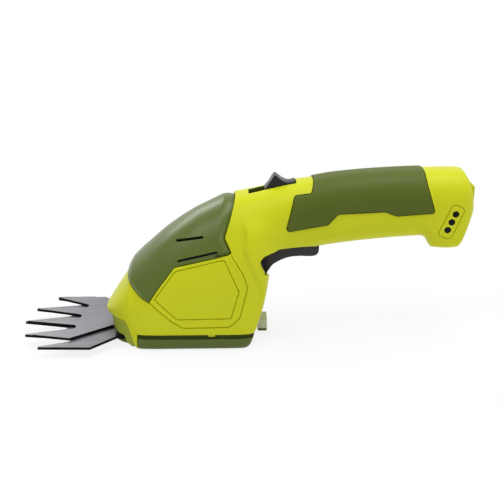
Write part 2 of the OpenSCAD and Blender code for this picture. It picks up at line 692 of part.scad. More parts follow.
module motor_hood() color(olive) difference() {
    intersection() {
        full_loft(within(bx(hood_end_shares[0]), bx(hood_end_shares[1]), stations), -hood_proud);
        translate([0, body_w, 0]) rotate([90, 0, 0]) linear_extrude(2 * body_w)
            offset(delta = -joint_gap) polygon(hood_points);
    }
    full_loft(within(bx(hood_end_shares[2]), bx(hood_end_shares[3]), inner_stations), wall);
    for (v = vent_shares) for (s = [-1, 1]) hull() for (e = [0, 2])
        rod_y(bx(v[e]), v[e + 1] * body_h, vent_w / 2,
            s > 0 ? body_w / 4 : -body_w, s > 0 ? body_w : -body_w / 4);
}
module left_grip() color(olive) half_grip();
module right_grip() color(olive) mirror([0, 1, 0]) half_grip();
module half_grip() {
    difference() {
        intersection() {
            half_loft(picked(hx(grip_end_shares[0]), hx(grip_end_shares[1])), -grip_t);
            translate([0, wall, 0]) rotate([90, 0, 0]) linear_extrude(handle_w) polygon(grip_points);
        }
        full_loft(picked(hx(grip_end_shares[2]), hx(grip_end_shares[3])), -skin_gap);
    }
}
module housing_screws() color(steel) for (p = screw_places) {
    rod_y(p[0], p[1], screw_r, -screw_reach, sink_y(p));
    rod_y(p[0], p[1], screw_head_r, sink_y(p), sink_y(p) + head_t);
}

module gear_frame() color(dark) difference() {
    union() {
        block([frame_x0, -frame_half, plate_z], [frame_x1, frame_half, plate_top]);
        for (p = posts) for (s = [-1, 1]) translate([p[0], s * post_y, p[1]])
            cylinder(r = post_r, h = plate_z - p[1] + plate_t / 2);
        translate([crank_x, 0, plate_z - 0.6 * drive_gap])
            cylinder(r = hub_r, h = plate_t + 0.6 * drive_gap);
    }
    translate([crank_x, 0, 0]) cylinder(r = axle_r + skin_gap, h = motor_top);
    translate([motor_x, 0, 0]) cylinder(r = pilot_r + fit_gap, h = motor_top);
    for (s = [-1, 1]) translate([motor_x, s * motor_screw_y, 0])
        cylinder(r = screw_r + fit_gap, h = motor_top);
    for (p = posts) for (s = [-1, 1]) translate([p[0], s * post_y, 0])
        cylinder(r = screw_r + fit_gap, h = plate_z);
}
can_t = 1.5;
can_floor = 2.5;
bell_t = 4;
bell_boss = 2;
bell_pocket = 1;
brush_gap = 1.5;
can_top = motor_top - bell_t;
module motor_can() color(steel) difference() {
    union() {
        translate([motor_x, 0, plate_top]) cylinder(r = motor_d / 2, h = can_top - plate_top);
        translate([motor_x, 0, plate_top - pilot_t]) cylinder(r = pilot_r, h = pilot_t + can_t);
    }
    translate([motor_x, 0, plate_top + can_floor]) cylinder(r = motor_d / 2 - can_t, h = motor_l);
    translate([motor_x, 0, 0]) cylinder(r = bush_r, h = motor_top);
    for (s = [-1, 1]) translate([motor_x, s * motor_screw_y, 0])
        cylinder(r = screw_r + fit_gap, h = plate_top + 2 * can_floor);
}
bush_r = 3;
bush_l = 4;
magnet_t = 3.6;
magnet_r = motor_d / 2 - can_t - fit_gap;
air_gap = 0.8;
armature_r = magnet_r - magnet_t - air_gap;
magnet_lift = 0.16 * motor_l;
magnet_z = plate_top + magnet_lift;
magnet_l = 0.55 * motor_l;
module motor_magnets() color(dark) translate([motor_x, 0, magnet_z]) for (a = [0, 180])
    rotate([0, 0, a - 70]) rotate_extrude(angle = 140)
        translate([magnet_r - magnet_t, 0]) square([magnet_t, magnet_l]);
module motor_end_bell() color(dark) difference() {
    union() {
        translate([motor_x, 0, can_top]) cylinder(r = motor_d / 2, h = bell_t);
        translate([motor_x, 0, can_top - bell_t / 2])
            cylinder(r = motor_d / 2 - can_t - fit_gap, h = bell_t);
        translate([motor_x, 0, can_top]) cylinder(r = bush_r + bell_boss, h = bell_t + bell_boss);
    }
    translate([motor_x, 0, 0]) cylinder(r = bush_r, h = 2 * motor_top);
    translate([motor_x, 0, 0]) cylinder(r = commutator_r + brush_gap, h = can_top + bell_pocket);
    for (s = [-1, 1]) terminal(s, seat_gap);
}
module motor_bushes() color(brass) for (z = [plate_top - pilot_t, can_top + bell_t + bell_boss - bush_l])
    translate([motor_x, 0, z]) difference() {
        cylinder(r = bush_r - skin_gap, h = bush_l);
        cylinder(r = shaft_r + bush_gap, h = 3 * bush_l, center = true);
    }
terminal_x = 2.4;
terminal_t = 0.8;
terminal_y = 11;
terminal_l = 5;
terminal_spare = 1;
terminal_rise = 0.4;
module terminal(s, g) {
    z = can_top - bell_t / 2 + (g > 0 ? -terminal_spare : terminal_rise);
    block([motor_x - terminal_x - g, s * terminal_y - terminal_t / 2 - g, z],
        [motor_x + terminal_x + g, s * terminal_y + terminal_t / 2 + g, motor_top + terminal_l]);
}
module motor_terminals() color(brass) for (s = [-1, 1]) terminal(s, 0);
module motor_screws() color(steel) for (s = [-1, 1])
    translate([motor_x, s * motor_screw_y, plate_z - head_t]) {
        cylinder(r = head_r, h = head_t);
        cylinder(r = screw_r, h = head_t + plate_t + can_t + screw_tail);
    }
commutator_r = 4.6;
commutator_l = 6;
commutator_gap = 1;
armature_inset = 1;
armature_z = magnet_z + armature_inset;
armature_l = magnet_l - 2 * armature_inset;
pole_gap = 1.8;
pole_depth = 2.4;
shaft_tail = 3;
module rotor_shaft() color(steel) translate([motor_x, 0, gear_z])
    cylinder(r = shaft_r, h = can_top + bell_t + shaft_tail - gear_z);
module armature() color(copper) translate([motor_x, 0, armature_z]) difference() {
    cylinder(r = armature_r, h = armature_l);
    cylinder(r = shaft_r + skin_gap, h = 3 * armature_l, center = true);
    for (a = [0 : 72 : 288]) rotate([0, 0, a])
        block([armature_r - pole_depth, -pole_gap / 2, -pole_gap],
            [armature_r + pole_gap, pole_gap / 2, armature_l + pole_gap]);
}
commutator_z = can_top - commutator_l - commutator_gap;
module commutator() color(brass) translate([motor_x, 0, commutator_z]) difference() {
    cylinder(r = commutator_r, h = commutator_l);
    cylinder(r = shaft_r + skin_gap, h = 3 * commutator_l, center = true);
}

// involute gears
pressure = 25;
backlash = 0.07;
tip_share = 1;
root_share = 1.25;
flank_steps = 3;
pinion_spare = 0.4;
function involute(base, r) = let (a = acos(min(1, base / r))) tan(a) * 180 / PI - a;
function polar(r, a) = r * [cos(a), sin(a)];
function gear_outline(teeth, turn) =
    let (pitch = gear_module * teeth / 2, base = pitch * cos(pressure))
    let (tip = pitch + tip_share * gear_module, root = pitch - root_share * gear_module)
    let (low = max(base, root))
    let (thick = 90 / teeth - backlash / pitch * 180 / PI + involute(base, pitch))
    [for (k = [0 : teeth - 1]) let (c = turn + 360 * k / teeth) for (i = [0 : 2 * flank_steps + 3])
        let (up = i <= flank_steps + 1, j = up ? i - 1 : 2 * flank_steps + 2 - i)
        let (r = low + (tip - low) * max(0, j) / flank_steps, a = thick - involute(base, r))
        if (j >= 0 || base > root) polar(j < 0 ? root : r, up ? c - a : c + a)];
module pinion() color(brass) translate([motor_x, 0, gear_z]) difference() {
    linear_extrude(gear_t + pinion_spare) polygon(gear_outline(pinion_teeth, 180 + 180 / pinion_teeth));
    cylinder(r = shaft_r + skin_gap, h = 4 * gear_t, center = true);
}
module crank_gear() color(white) translate([crank_x, 0, 0]) difference() {
    union() {
        translate([0, 0, gear_z]) linear_extrude(gear_t) polygon(gear_outline(crank_teeth, 0));
        translate([0, -throw, cam_z]) cylinder(r = cam_r, h = gear_z + gear_t / 2 - cam_z);
    }
    cylinder(r = axle_r + run_gap, h = motor_top);
}
clip_t = 0.8;
clip_w = 1.6;
axle_tail = 0.6;
axle_z = cam_z - clip_t - seat_gap - axle_tail;
module crank_axle() color(steel) translate([crank_x, 0, axle_z])
    cylinder(r = axle_r, h = plate_top - axle_z);
module crank_clip() color(steel) translate([crank_x, 0, cam_z - clip_t - seat_gap]) difference() {
    cylinder(r = axle_r + clip_w, h = clip_t);
    cylinder(r = axle_r + skin_gap, h = 3 * clip_t, center = true);
}

module comb_blade() color(steel) difference() {
    translate([0, 0, blade_z]) linear_extrude(blade_t) polygon(concat(comb_half, mirror_y(comb_half)));
    translate([pivot_x, 0, 0]) cylinder(r = pivot_r + skin_gap, h = motor_top);
    for (s = [-1, 1]) translate([front_post_x, s * post_y, 0])
        cylinder(r = screw_r + fit_gap, h = motor_top);
}
carrier_z = 3.4;
carrier_half = 24.5;
carrier_x0 = frame_x0;
carrier_x1 = rear_post_x + post_r;
module blade_carrier() color(dark) difference() {
    block([carrier_x0, -carrier_half, carrier_z], [carrier_x1, carrier_half, blade_z]);
    for (p = posts) for (s = [-1, 1]) translate([p[0], s * post_y, 0]) {
        cylinder(r = screw_r + fit_gap, h = motor_top);
        cylinder(r = head_r + seat_gap, h = carrier_z + head_t);
    }
}
module blade_screws() color(steel) for (p = posts) for (s = [-1, 1])
    translate([p[0], s * post_y, carrier_z]) {
        cylinder(r = head_r, h = head_t);
        cylinder(r = screw_r, h = plate_z - screw_spare - carrier_z);
    }
washer_t = 0.6;
washer_w = 2.6;
nut_t = 2.6;
nut_w = 1.6;
stud_tail = 0.8;
module pivot_stud() color(steel) translate([pivot_x, 0, blade_z]) {
    cylinder(r = pivot_r, h = cutter_top + washer_t + nut_t + stud_tail - blade_z);
}
module pivot_washer() color(steel) translate([pivot_x, 0, cutter_top + fit_gap]) difference() {
    cylinder(r = pivot_r + washer_w, h = washer_t);
    cylinder(r = pivot_r + skin_gap, h = 3 * washer_t, center = true);
}
module pivot_nut() color(steel) translate([pivot_x, 0, cutter_top + fit_gap + washer_t]) difference() {
    cylinder(r = pivot_r + nut_w, h = nut_t, $fn = 6);
    cylinder(r = pivot_r + skin_gap, h = 3 * nut_t, center = true);
}
// cutter, drawn straight ahead of its pivot and then swung to the far side
yoke_x0 = 8.4;
yoke_short = 1;
yoke_back = crank_back + cam_r - yoke_short;
yoke_half = cam_r + cam_play + prong_w;
rivet_r = 1.4;
rivet_in = 2.8;
rivet_head = 0.6;
rivet_brim = 0.8;
rivet_x = yoke_x0 + rivet_in;
rivet_y = 4.6;
module on_cutter() {
    translate([pivot_x, 0, 0]) rotate([0, 0, -swing]) children();
}
module cutter_blade() color(steel) on_cutter() difference() {
    translate([0, 0, cutter_z]) linear_extrude(blade_t) polygon(concat(cutter_half, mirror_y(cutter_half)));
    cylinder(r = pivot_r + run_gap, h = motor_top);
    for (s = [-1, 1]) translate([rivet_x, s * rivet_y, 0]) cylinder(r = rivet_r + fit_gap, h = motor_top);
}
yoke_shares = [0.72, 0.3];
module yoke_plate() color(dark) on_cutter() difference() {
    translate([0, 0, cutter_top]) linear_extrude(yoke_t) polygon([
        [yoke_x0, -yoke_shares[0] * yoke_half], [yoke_x0 + yoke_shares[1] * crank_back, -yoke_half],
        [yoke_back, -yoke_half], [yoke_back, yoke_half],
        [yoke_x0 + yoke_shares[1] * crank_back, yoke_half], [yoke_x0, yoke_shares[0] * yoke_half]]);
    block([crank_back - cam_r - throw - cam_play, -cam_r - cam_play, 0],
        [2 * crank_back, cam_r + cam_play, motor_top]);
    for (s = [-1, 1]) translate([rivet_x, s * rivet_y, 0]) cylinder(r = rivet_r + fit_gap, h = motor_top);
}
module yoke_rivets() color(steel) on_cutter() for (s = [-1, 1])
    translate([rivet_x, s * rivet_y, cutter_z]) {
        cylinder(r = rivet_r, h = blade_t + yoke_t + rivet_head);
        translate([0, 0, blade_t + yoke_t]) cylinder(r = rivet_r + rivet_brim, h = rivet_head);
    }

module trigger() color(dark) difference() {
    union() {
        across(trigger_points, -trigger_y, trigger_y);
        rod_y(trigger_x, trigger_z, trigger_hub, -trigger_y, trigger_y);
    }
    rod_y(trigger_x, trigger_z, pin_r + run_gap, -trigger_w, trigger_w);
}
module trigger_pin() color(steel) rod_y(trigger_x, trigger_z, pin_r, -pin_half, pin_half);
module trigger_spring() color(steel) translate([spring_x, 0, trigger_top + seat_gap / 2])
    coil(spring_r - spring_wire, spring_l, 6, spring_wire);
module trigger_switch() color(dark) difference() {
    block([switch_x, -switch_t / 2, switch_z], [switch_x + switch_l, switch_t / 2, switch_z + switch_h]);
    translate([plunger_x, 0, 0])
        cylinder(r = plunger_r + run_gap, h = switch_z + plunger_lift + plunger_room);
}
module switch_plunger() color(white) translate([plunger_x, 0, trigger_top + joint_gap])
    cylinder(r = plunger_r, h = switch_z + plunger_in - trigger_top);

module lockout_slider() color(dark) on_slot() {
    l = slider_u1 - slider_u0;
    block([slider_u0, -slot_w / 2 - slider_flange, -slider_drop - slider_t],
        [slider_u1, slot_w / 2 + slider_flange, -slider_drop]);
    block([slider_u0 + 0.2 * l, -slot_w / 2 + joint_gap, -slider_drop - slider_t],
        [slider_u1, slot_w / 2 - joint_gap, thumb_base]);
    across([for (p = thumb_shares)
        [slider_u0 + (0.2 + 0.8 * p[0]) * l, thumb_base - fit_gap + thumb_h * p[1]]],
        -slot_w / 2 + joint_gap, slot_w / 2 - joint_gap);
}
module lockout_spring() color(steel) on_slot()
    translate([slider_u0 - fit_gap - slider_spring_l, 0, -slider_drop - slider_t / 2]) rotate([0, 90, 0])
        coil(slider_spring_r - spring_wire, slider_spring_l, 7, spring_wire);

module battery_cells() color(blue) on_cells() for (s = [-1, 1])
    translate([-cell_l / 2, 0, s * cell_v]) rotate([0, 90, 0]) cylinder(r = cell_d / 2, h = cell_l);
module cell_links() color(steel) on_cells() {
    block([cell_l / 2 + fit_gap, -link_half, -cell_v - link_half],
        [cell_l / 2 + fit_gap + link_t, link_half, cell_v + link_half]);
    for (s = [-1, 1]) block([-cell_l / 2 - fit_gap - link_t, -link_half, s * cell_v - link_half],
        [-cell_l / 2 - fit_gap, link_half, s * cell_v + link_half]);
}
module battery_holder() color(dark) on_cells() {
    block([-holder_u - holder_t, -floor_half, -holder_v - holder_t],
        [holder_u + holder_t, floor_half, -holder_v]);
    for (u = [-holder_u - holder_t, holder_u]) {
        block([u, -floor_half, -holder_v - holder_t], [u + holder_t, floor_half, 0]);
        block([u, -holder_half, -holder_v + holder_half],
            [u + holder_t, holder_half, holder_v - holder_low]);
    }
}
module control_board() color(green) on_lamps()
    block([-board_l / 2, -board_y - board_t, board_w0], [board_l / 2, -board_y, board_w1]);
module indicator_lamps() color(white) on_lamps() for (u = lamp_us)
    rod_y(u, 0, lamp_r, -pill_y + pill_t + seat_gap, -board_y - board_t);
module indicator_plate() color(lime) on_lamps() difference() {
    pill(pill_l, pill_w, -pill_y, -pill_y + pill_t);
    for (u = lamp_us) rod_y(u, 0, lens_r + skin_gap, -pill_y - wall, -pill_y + pill_t + wall);
}
module indicator_lenses() color(dark) on_lamps() for (u = lamp_us)
    rod_y(u, 0, lens_r, -pill_y + lens_sink, -pill_y + pill_t);

module check_button() color(lime) {
    across([
        [button_x0 + button_flange, button_z - button_h / 2], [end_x, button_z - button_h / 2],
        [end_x, button_z + 0.3 * button_h], [end_x - 0.2 * button_h, button_z + button_h / 2],
        [button_x0 + button_flange, button_z + button_h / 2]], -button_w / 2, button_w / 2);
    block([button_x0, -button_w / 2 - button_flange, button_z - button_h / 2 - button_flange],
        [button_x0 + button_flange, button_w / 2 + button_flange,
         button_z + button_h / 2 - 2 * button_flange]);
}
module button_spring() color(steel)
    translate([button_x0 - fit_gap - button_spring_l, 0, button_z]) rotate([0, 90, 0])
        coil(spring_r - spring_wire, button_spring_l, 4, spring_wire);
module charging_jack() color(dark) difference() {
    block([jack_x - jack_half, -jack_half, jack_z], [jack_x + jack_half, jack_half, jack_z + jack_h]);
    translate([jack_x, 0, 0]) cylinder(r = jack_bore / 2, h = jack_z + 0.85 * jack_h);
}
module jack_pin() color(brass) translate([jack_x, 0, jack_z + jack_sink])
    cylinder(r = jack_pin_r, h = 0.85 * jack_h - jack_sink);
lead_r = 0.9;
lead_lift = 2;
lead_back = 10;
lead_y = [1.6, 2.4, 5, 9];
module motor_leads() color(dark) for (s = [-1, 1]) wire(lead([
    [switch_x - lead_r, s * lead_y[0], switch_z + 0.6 * switch_h],
    [throat_x, s * lead_y[1], switch_z + 0.4 * switch_h],
    [motor_x + 3.3 * lead_back, s * lead_y[2], motor_top + terminal_l + lead_lift],
    [motor_x + lead_back, s * lead_y[3], motor_top + terminal_l + lead_lift],
    [motor_x + terminal_x + lead_r + seat_gap, s * terminal_y, motor_top + 0.6 * terminal_l]]),
    lead_r, [0, 1, 0]);
pack_lead_x = [1.6, 5, 3];
pack_lead_y = [4, 4.4, 3, 1.6];
module battery_leads() color(dark) {
    back = cell_x - (holder_u + holder_t + pack_lead_x[0]) * cos(cell_tilt);
    for (s = [-1, 1]) wire(lead([
        [back, s * pack_lead_y[0], cell_mid - pack_lead_y[0]],
        [back - pack_lead_x[1], s * pack_lead_y[1], cell_mid - pack_lead_x[1]],
        [switch_x + switch_l + pack_lead_x[2], s * pack_lead_y[2], switch_z + switch_h + lead_lift],
        [switch_x + switch_l + lead_r + seat_gap, s * pack_lead_y[3], switch_z + 0.7 * switch_h]]),
        lead_r, [0, 1, 0]);
}

tongue_points = [
    [cover_x0 + wall, 0], [cover_x0, 0], [tongue_x + wall, 0.7 * tongue_z], [tongue_x, tongue_z],
    [tongue_x + 2 * wall, tongue_z], [carrier_x0 - tongue_gap, carrier_z - joint_gap],
    [cover_x0 + wall, wall]];
module base_cover() color(olive) {
    cover_tray();
    across(tongue_points, -tongue_half, tongue_half);
}
module cover_tray() difference() {
    union() {
        intersection() {
            difference() {
                full_loft(within(cover_x0, cover_x1, stations), 0);
                full_loft(within(cover_x0 - wall, cover_x1 - 2 * wall, stations), wall);
            }
            block([cover_x0, -body_w, -wall], [rear_x, body_w, cover_z]);
        }
    }
    block([cover_x0 - wall, -tongue_half, wall], [frame_x0 + 4 * wall, tongue_half, seam_z]);
    block([stem_x0 - 2 * tab_travel, -stem_half - joint_gap, stem_z0 - joint_gap],
        [rear_x, stem_half + joint_gap, stem_z1 + joint_gap]);
}
module release_tab() color(olive) {
    block([tab_x0, -tab_half, tab_z], [tab_x1, tab_half, tab_z + tab_h]);
    block([stem_x0, -stem_half, stem_z0], [tab_x0 + tab_lap, stem_half, stem_z1]);
    block([stem_x0, -stem_half, stem_z0], [latch_x1, stem_half, latch_z]);
}
module tab_spring() color(steel)
    translate([stem_x0 - fit_gap - tab_spring_l, 0, (stem_z0 + stem_z1) / 2]) rotate([0, 90, 0])
        coil(slider_spring_r - spring_wire, tab_spring_l, 5, spring_wire);

left_housing();
right_housing();
motor_hood();
left_grip();
right_grip();
housing_screws();
gear_frame();
motor_can();
motor_magnets();
motor_end_bell();
motor_bushes();
motor_terminals();
motor_screws();
rotor_shaft();
armature();
commutator();
pinion();
crank_axle();
crank_gear();
crank_clip();
comb_blade();
blade_carrier();
blade_screws();
pivot_stud();
pivot_washer();
pivot_nut();
cutter_blade();
yoke_plate();
yoke_rivets();
trigger();
trigger_pin();
trigger_spring();
trigger_switch();
switch_plunger();
lockout_slider();
lockout_spring();
battery_cells();
cell_links();
battery_holder();
control_board();
indicator_lamps();
indicator_plate();
indicator_lenses();
check_button();
button_spring();
charging_jack();
jack_pin();
motor_leads();
battery_leads();
base_cover();
release_tab();
tab_spring();
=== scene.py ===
import json
import math
import bpy
import bmesh
import numpy as np
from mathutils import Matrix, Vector


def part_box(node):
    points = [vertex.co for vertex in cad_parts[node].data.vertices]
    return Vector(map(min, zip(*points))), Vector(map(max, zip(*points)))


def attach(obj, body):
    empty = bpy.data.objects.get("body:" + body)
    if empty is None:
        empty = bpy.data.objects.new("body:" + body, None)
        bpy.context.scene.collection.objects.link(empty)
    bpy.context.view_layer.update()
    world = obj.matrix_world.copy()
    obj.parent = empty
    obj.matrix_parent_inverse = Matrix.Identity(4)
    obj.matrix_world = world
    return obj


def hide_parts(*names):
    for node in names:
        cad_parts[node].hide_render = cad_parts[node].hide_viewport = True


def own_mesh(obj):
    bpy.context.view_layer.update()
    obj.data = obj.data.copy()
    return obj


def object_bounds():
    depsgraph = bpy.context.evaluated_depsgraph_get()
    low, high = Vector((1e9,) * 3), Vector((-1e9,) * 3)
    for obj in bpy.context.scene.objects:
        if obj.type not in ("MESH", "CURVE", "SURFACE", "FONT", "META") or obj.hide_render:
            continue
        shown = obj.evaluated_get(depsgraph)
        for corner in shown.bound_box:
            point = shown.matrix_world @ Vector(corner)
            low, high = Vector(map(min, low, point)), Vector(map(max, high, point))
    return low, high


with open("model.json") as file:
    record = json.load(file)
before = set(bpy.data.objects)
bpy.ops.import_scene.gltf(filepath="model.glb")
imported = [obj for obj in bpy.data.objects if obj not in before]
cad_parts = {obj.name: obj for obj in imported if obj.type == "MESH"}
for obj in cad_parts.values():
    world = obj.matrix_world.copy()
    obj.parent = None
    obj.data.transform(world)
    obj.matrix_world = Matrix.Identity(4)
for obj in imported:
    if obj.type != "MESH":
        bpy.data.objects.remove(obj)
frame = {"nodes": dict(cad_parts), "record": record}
cad_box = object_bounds()
nodes = frame["nodes"]
MM = 0.001

# sizes of the housing, in millimetres, as the solids have them
low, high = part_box("left_housing")
NOSE_X = low.x / MM
REAR_X = high.x / MM
HALF_W = -low.y / MM
HANDLE_TOP = high.z / MM
BODY_SHARE = 115 / 256.6
BODY_L = (REAR_X - NOSE_X) * BODY_SHARE
HANDLE_L = REAR_X - NOSE_X - BODY_L
BODY_H = 104.0
HANDLE_H = 47.0
HANDLE_HALF = 21.0
WALL = 2.4
SEAM_Z = 12.0
LIP_Z = 18.0
MOUTH_HALF = 28.0
GAP = 0.3
GRIP_T = 1.0
UNDER_Z = HANDLE_TOP - 1.272 * HANDLE_H
REAR_ROUND = 1.6

# fineness of the skin: distance of the sections, points of a quarter section, weight of its bends,
# stretch that lays its underside flat, and margin for a first choice of faces near an outline
SKIN_STEP = 1.6
QUARTER = 24
CORNER = 6.0
FLAT = 1.01
LOOK = 12.0
# samples of an eased line, half width of its window, and length over which the ease fades out
EASE_SAMPLES, EASE_WINDOW, EASE_FADE = 1200, 60, 10.0


def bx(s):
    """The x at a share of the body's length."""
    return NOSE_X + s * BODY_L


def hx(s):
    """The x at a share of the handle's length."""
    return NOSE_X + BODY_L + s * HANDLE_L


# lines of the housing along its length, as shares: top, rear wall, underside, half width, height of the
# widest place, and exponents of the section above and below it
TOP_BODY = [
    (0, 0.206), (0.076, 0.336), (0.146, 0.458), (0.174, 0.53), (0.219, 0.586), (0.283, 0.651),
    (0.365, 0.732), (0.461, 0.808), (0.557, 0.872), (0.649, 0.925), (0.743, 0.975), (0.797, 1),
    (0.887, 1.017)]
TOP_HANDLE = [
    (0, 0.897), (0.141, 0.932), (0.22, 0.945), (0.316, 0.965), (0.471, 0.983), (0.595, 0.992),
    (0.742, 0.998), (0.905, 1), (0.95, 0.995), (0.972, 0.963), (0.985, 0.925), (1, 0.83)]
REAR_WALL = [
    (0.887, 0.02), (0.905, 0.073), (0.922, 0.163), (0.96, 0.342), (0.988, 0.529), (1.007, 0.733),
    (1.015, 0.863)]
UNDER = [
    (0.028, 1.313), (0.042, 1.272), (0.13, 1.219), (0.261, 1.14), (0.424, 1.068), (0.6, 1.01),
    (0.71, 0.981), (0.758, 0.968), (0.775, 0.996), (0.786, 1.045), (0.7955, 1.095), (0.802, 1.115),
    (0.928, 1.115), (0.934, 1.104), (0.942, 1.076), (0.96, 0.962), (0.98, 0.791), (1, 0.62)]
BODY_HALF = [
    (0, 0.14), (0.026, 0.4), (0.052, 0.543), (0.087, 0.7), (0.139, 0.857), (0.2, 0.943),
    (0.261, 0.986), (0.348, 1), (0.609, 1), (0.783, 1), (0.87, 0.985), (0.922, 0.93), (0.957, 0.84)]
HANDLE_HALVES = [
    (0.035, 1.143), (0.141, 1.038), (0.319, 1), (0.6, 1), (0.777, 1.02), (0.883, 1.07),
    (0.945, 1.045), (0.975, 0.945), (1, 0.69)]
WAIST_BODY = [(0, 0.5), (0.14, 0.3), (0.35, 0.32), (0.6, 0.3), (0.87, 0.3), (0.957, 0.35)]
WAIST_HANDLE = [(0.035, 0.5), (1, 0.5)]
OVER_BODY = [(0, 2.4), (0.35, 2.3), (0.6, 2.3), (0.87, 2.6)]
OVER_HANDLE = [(0.035, 2.7), (0.3, 2.6), (1, 2.8)]
BELOW_BODY = [(0, 5), (0.26, 14), (0.87, 14), (0.974, 5)]
BELOW_HANDLE = [(0.035, 2.8), (0.3, 2.6), (0.77, 3), (0.8, 5.5), (0.87, 6.5), (1, 3)]


class Line:
    """Smooth line through a table of points, without overshoot."""

    def __init__(self, pts):
        self.x = np.array([p[0] for p in pts], float)
        self.y = np.array([p[1] for p in pts], float)
        rise = np.diff(self.y) / np.diff(self.x)
        m = np.zeros(len(pts))
        m[0], m[-1] = rise[0], rise[-1]
        for i in range(1, len(pts) - 1):
            a, b = rise[i - 1], rise[i]
            m[i] = 0 if a * b <= 0 else 2 * a * b / (a + b)
        self.m = m

    def __call__(self, x):
        x = np.clip(np.asarray(x, float), self.x[0], self.x[-1])
        i = np.clip(np.searchsorted(self.x, x, "right") - 1, 0, len(self.x) - 2)
        h = self.x[i + 1] - self.x[i]
        s = (x - self.x[i]) / h
        return ((1 + 2 * s) * (1 - s) ** 2 * self.y[i] + s * (1 - s) ** 2 * h * self.m[i]
                + s ** 2 * (3 - 2 * s) * self.y[i + 1] + s ** 2 * (s - 1) * h * self.m[i + 1])


def body_line(t, size):
    return [(bx(a), b * size) for a, b in t]


def handle_line(t, size):
    return [(hx(a), b * size) for a, b in t]


top = Line(body_line(TOP_BODY, BODY_H) + handle_line(TOP_HANDLE, HANDLE_TOP))
bottom = Line(
    [(NOSE_X, 1.14 * LIP_Z), (bx(0.139), LIP_Z), (bx(0.2045), 0), (bx(0.861), 0)]
    + body_line(REAR_WALL, UNDER_Z) + [(hx(a), HANDLE_TOP - b * HANDLE_H) for a, b in UNDER])
half = Line(body_line(BODY_HALF, HALF_W) + handle_line(HANDLE_HALVES, HANDLE_HALF))
waist = Line(body_line(WAIST_BODY, 1) + handle_line(WAIST_HANDLE, 1))
over = Line(body_line(OVER_BODY, 1) + handle_line(OVER_HANDLE, 1))
below = Line(body_line(BELOW_BODY, 1) + handle_line(BELOW_HANDLE, 1))


def eased(line, reach):
    """The line with its bends eased over reach, but for the nose and the rear end."""
    xs = np.linspace(NOSE_X, REAR_X, EASE_SAMPLES)
    w = np.exp(-0.5 * (np.arange(-EASE_WINDOW, EASE_WINDOW + 1) * (xs[1] - xs[0]) / reach) ** 2)
    ys = line(xs)
    soft = np.convolve(np.pad(ys, EASE_WINDOW, "edge"), w / w.sum(), "valid")
    keep = np.clip((xs - bx(0.3)) / EASE_FADE, 0, 1) * np.clip((hx(0.9) - xs) / EASE_FADE, 0, 1)
    mixed = ys + (soft - ys) * keep
    return lambda x: np.interp(x, xs, mixed)


half, over, below = (eased(line, 3.5) for line in (half, over, below))
middle = eased(lambda x: bottom(x) + waist(x) * (top(x) - bottom(x)), 5.0)


def spread(y, z, count):
    """Points along a quarter section, closer together where it bends."""
    step = np.hypot(np.diff(y), np.diff(z))
    turn = np.unwrap(np.arctan2(np.diff(z), np.diff(y)))
    bend = np.zeros(len(step))
    bend[1:] = np.abs(np.diff(turn))
    run = np.concatenate([[0], np.cumsum(step + CORNER * np.minimum(bend, 0.5))])
    at = np.linspace(0, run[-1], count + 1)
    return np.interp(at, run, y), np.interp(at, run, z)


def half_ring(x):
    """Half section at x from the top to the bottom, as y and z."""
    inset = 0.0
    if x > REAR_X - REAR_ROUND:
        inset = REAR_ROUND - math.sqrt(max(0, REAR_ROUND ** 2 - (x - REAR_X + REAR_ROUND) ** 2))
    t, b, w = float(top(x)) - inset, float(bottom(x)) + inset, float(half(x)) - inset
    c = min(max(float(middle(x)), b + 0.1 * (t - b)), t - 0.1 * (t - b))
    a = np.linspace(0, math.pi / 2, 181)
    n = float(over(x))
    yu, zu = spread(w * np.sin(a) ** (2 / n), c + (t - c) * np.cos(a) ** (2 / n), QUARTER)
    n = float(below(x))
    drop = np.minimum(1, FLAT * np.sin(a) ** (2 / n))
    yl, zl = spread(w * np.cos(a) ** (2 / n), c - (c - b) * drop, QUARTER)
    return np.concatenate([yu, yl[1:]]), np.concatenate([zu, zl[1:]])


def stations():
    """Places of the sections, closer together where the housing is steep and at its rear edge."""
    xs = np.linspace(NOSE_X, REAR_X, 4000)
    speed = np.sqrt(1 + np.gradient(top(xs), xs) ** 2 + np.gradient(bottom(xs), xs) ** 2)
    speed = np.minimum(speed, 8)
    run = np.concatenate([[0], np.cumsum(speed[1:] * np.diff(xs))])
    out = np.interp(np.linspace(0, run[-1], int(run[-1] / SKIN_STEP)), run, xs)
    ends = REAR_X - REAR_ROUND * (1 - np.sin(np.linspace(0, math.pi / 2, 6)))
    return np.concatenate([out[out < REAR_X - REAR_ROUND - 0.3], ends])


def whole_skin():
    bm = bmesh.new()
    rings = []
    for x in stations():
        y, z = half_ring(x)
        left = [bm.verts.new((x, -a, b)) for a, b in zip(y, z)]
        right = [bm.verts.new((x, a, b)) for a, b in zip(y[1:-1], z[1:-1])]
        rings.append(left + right[::-1])
    n = len(rings[0])
    for p, q in zip(rings, rings[1:]):
        for j in range(n):
            k = (j + 1) % n
            bm.faces.new((p[j], q[j], q[k], p[k]))
    bm.faces.new(rings[0])
    bm.faces.new(rings[-1][::-1])
    bmesh.ops.recalc_face_normals(bm, faces=bm.faces)
    return bm


def spans(f, up=2):
    """Extent of a face in X and in Z, or in Y where up is 1."""
    xs = [v.co.x for v in f.verts]
    us = [v.co[up] for v in f.verts]
    return min(xs), max(xs), min(us), max(us)


def meets(box, x0, x1, z0, z1):
    a, b, c, d = box
    return b >= x0 and a <= x1 and d >= z0 and c <= z1


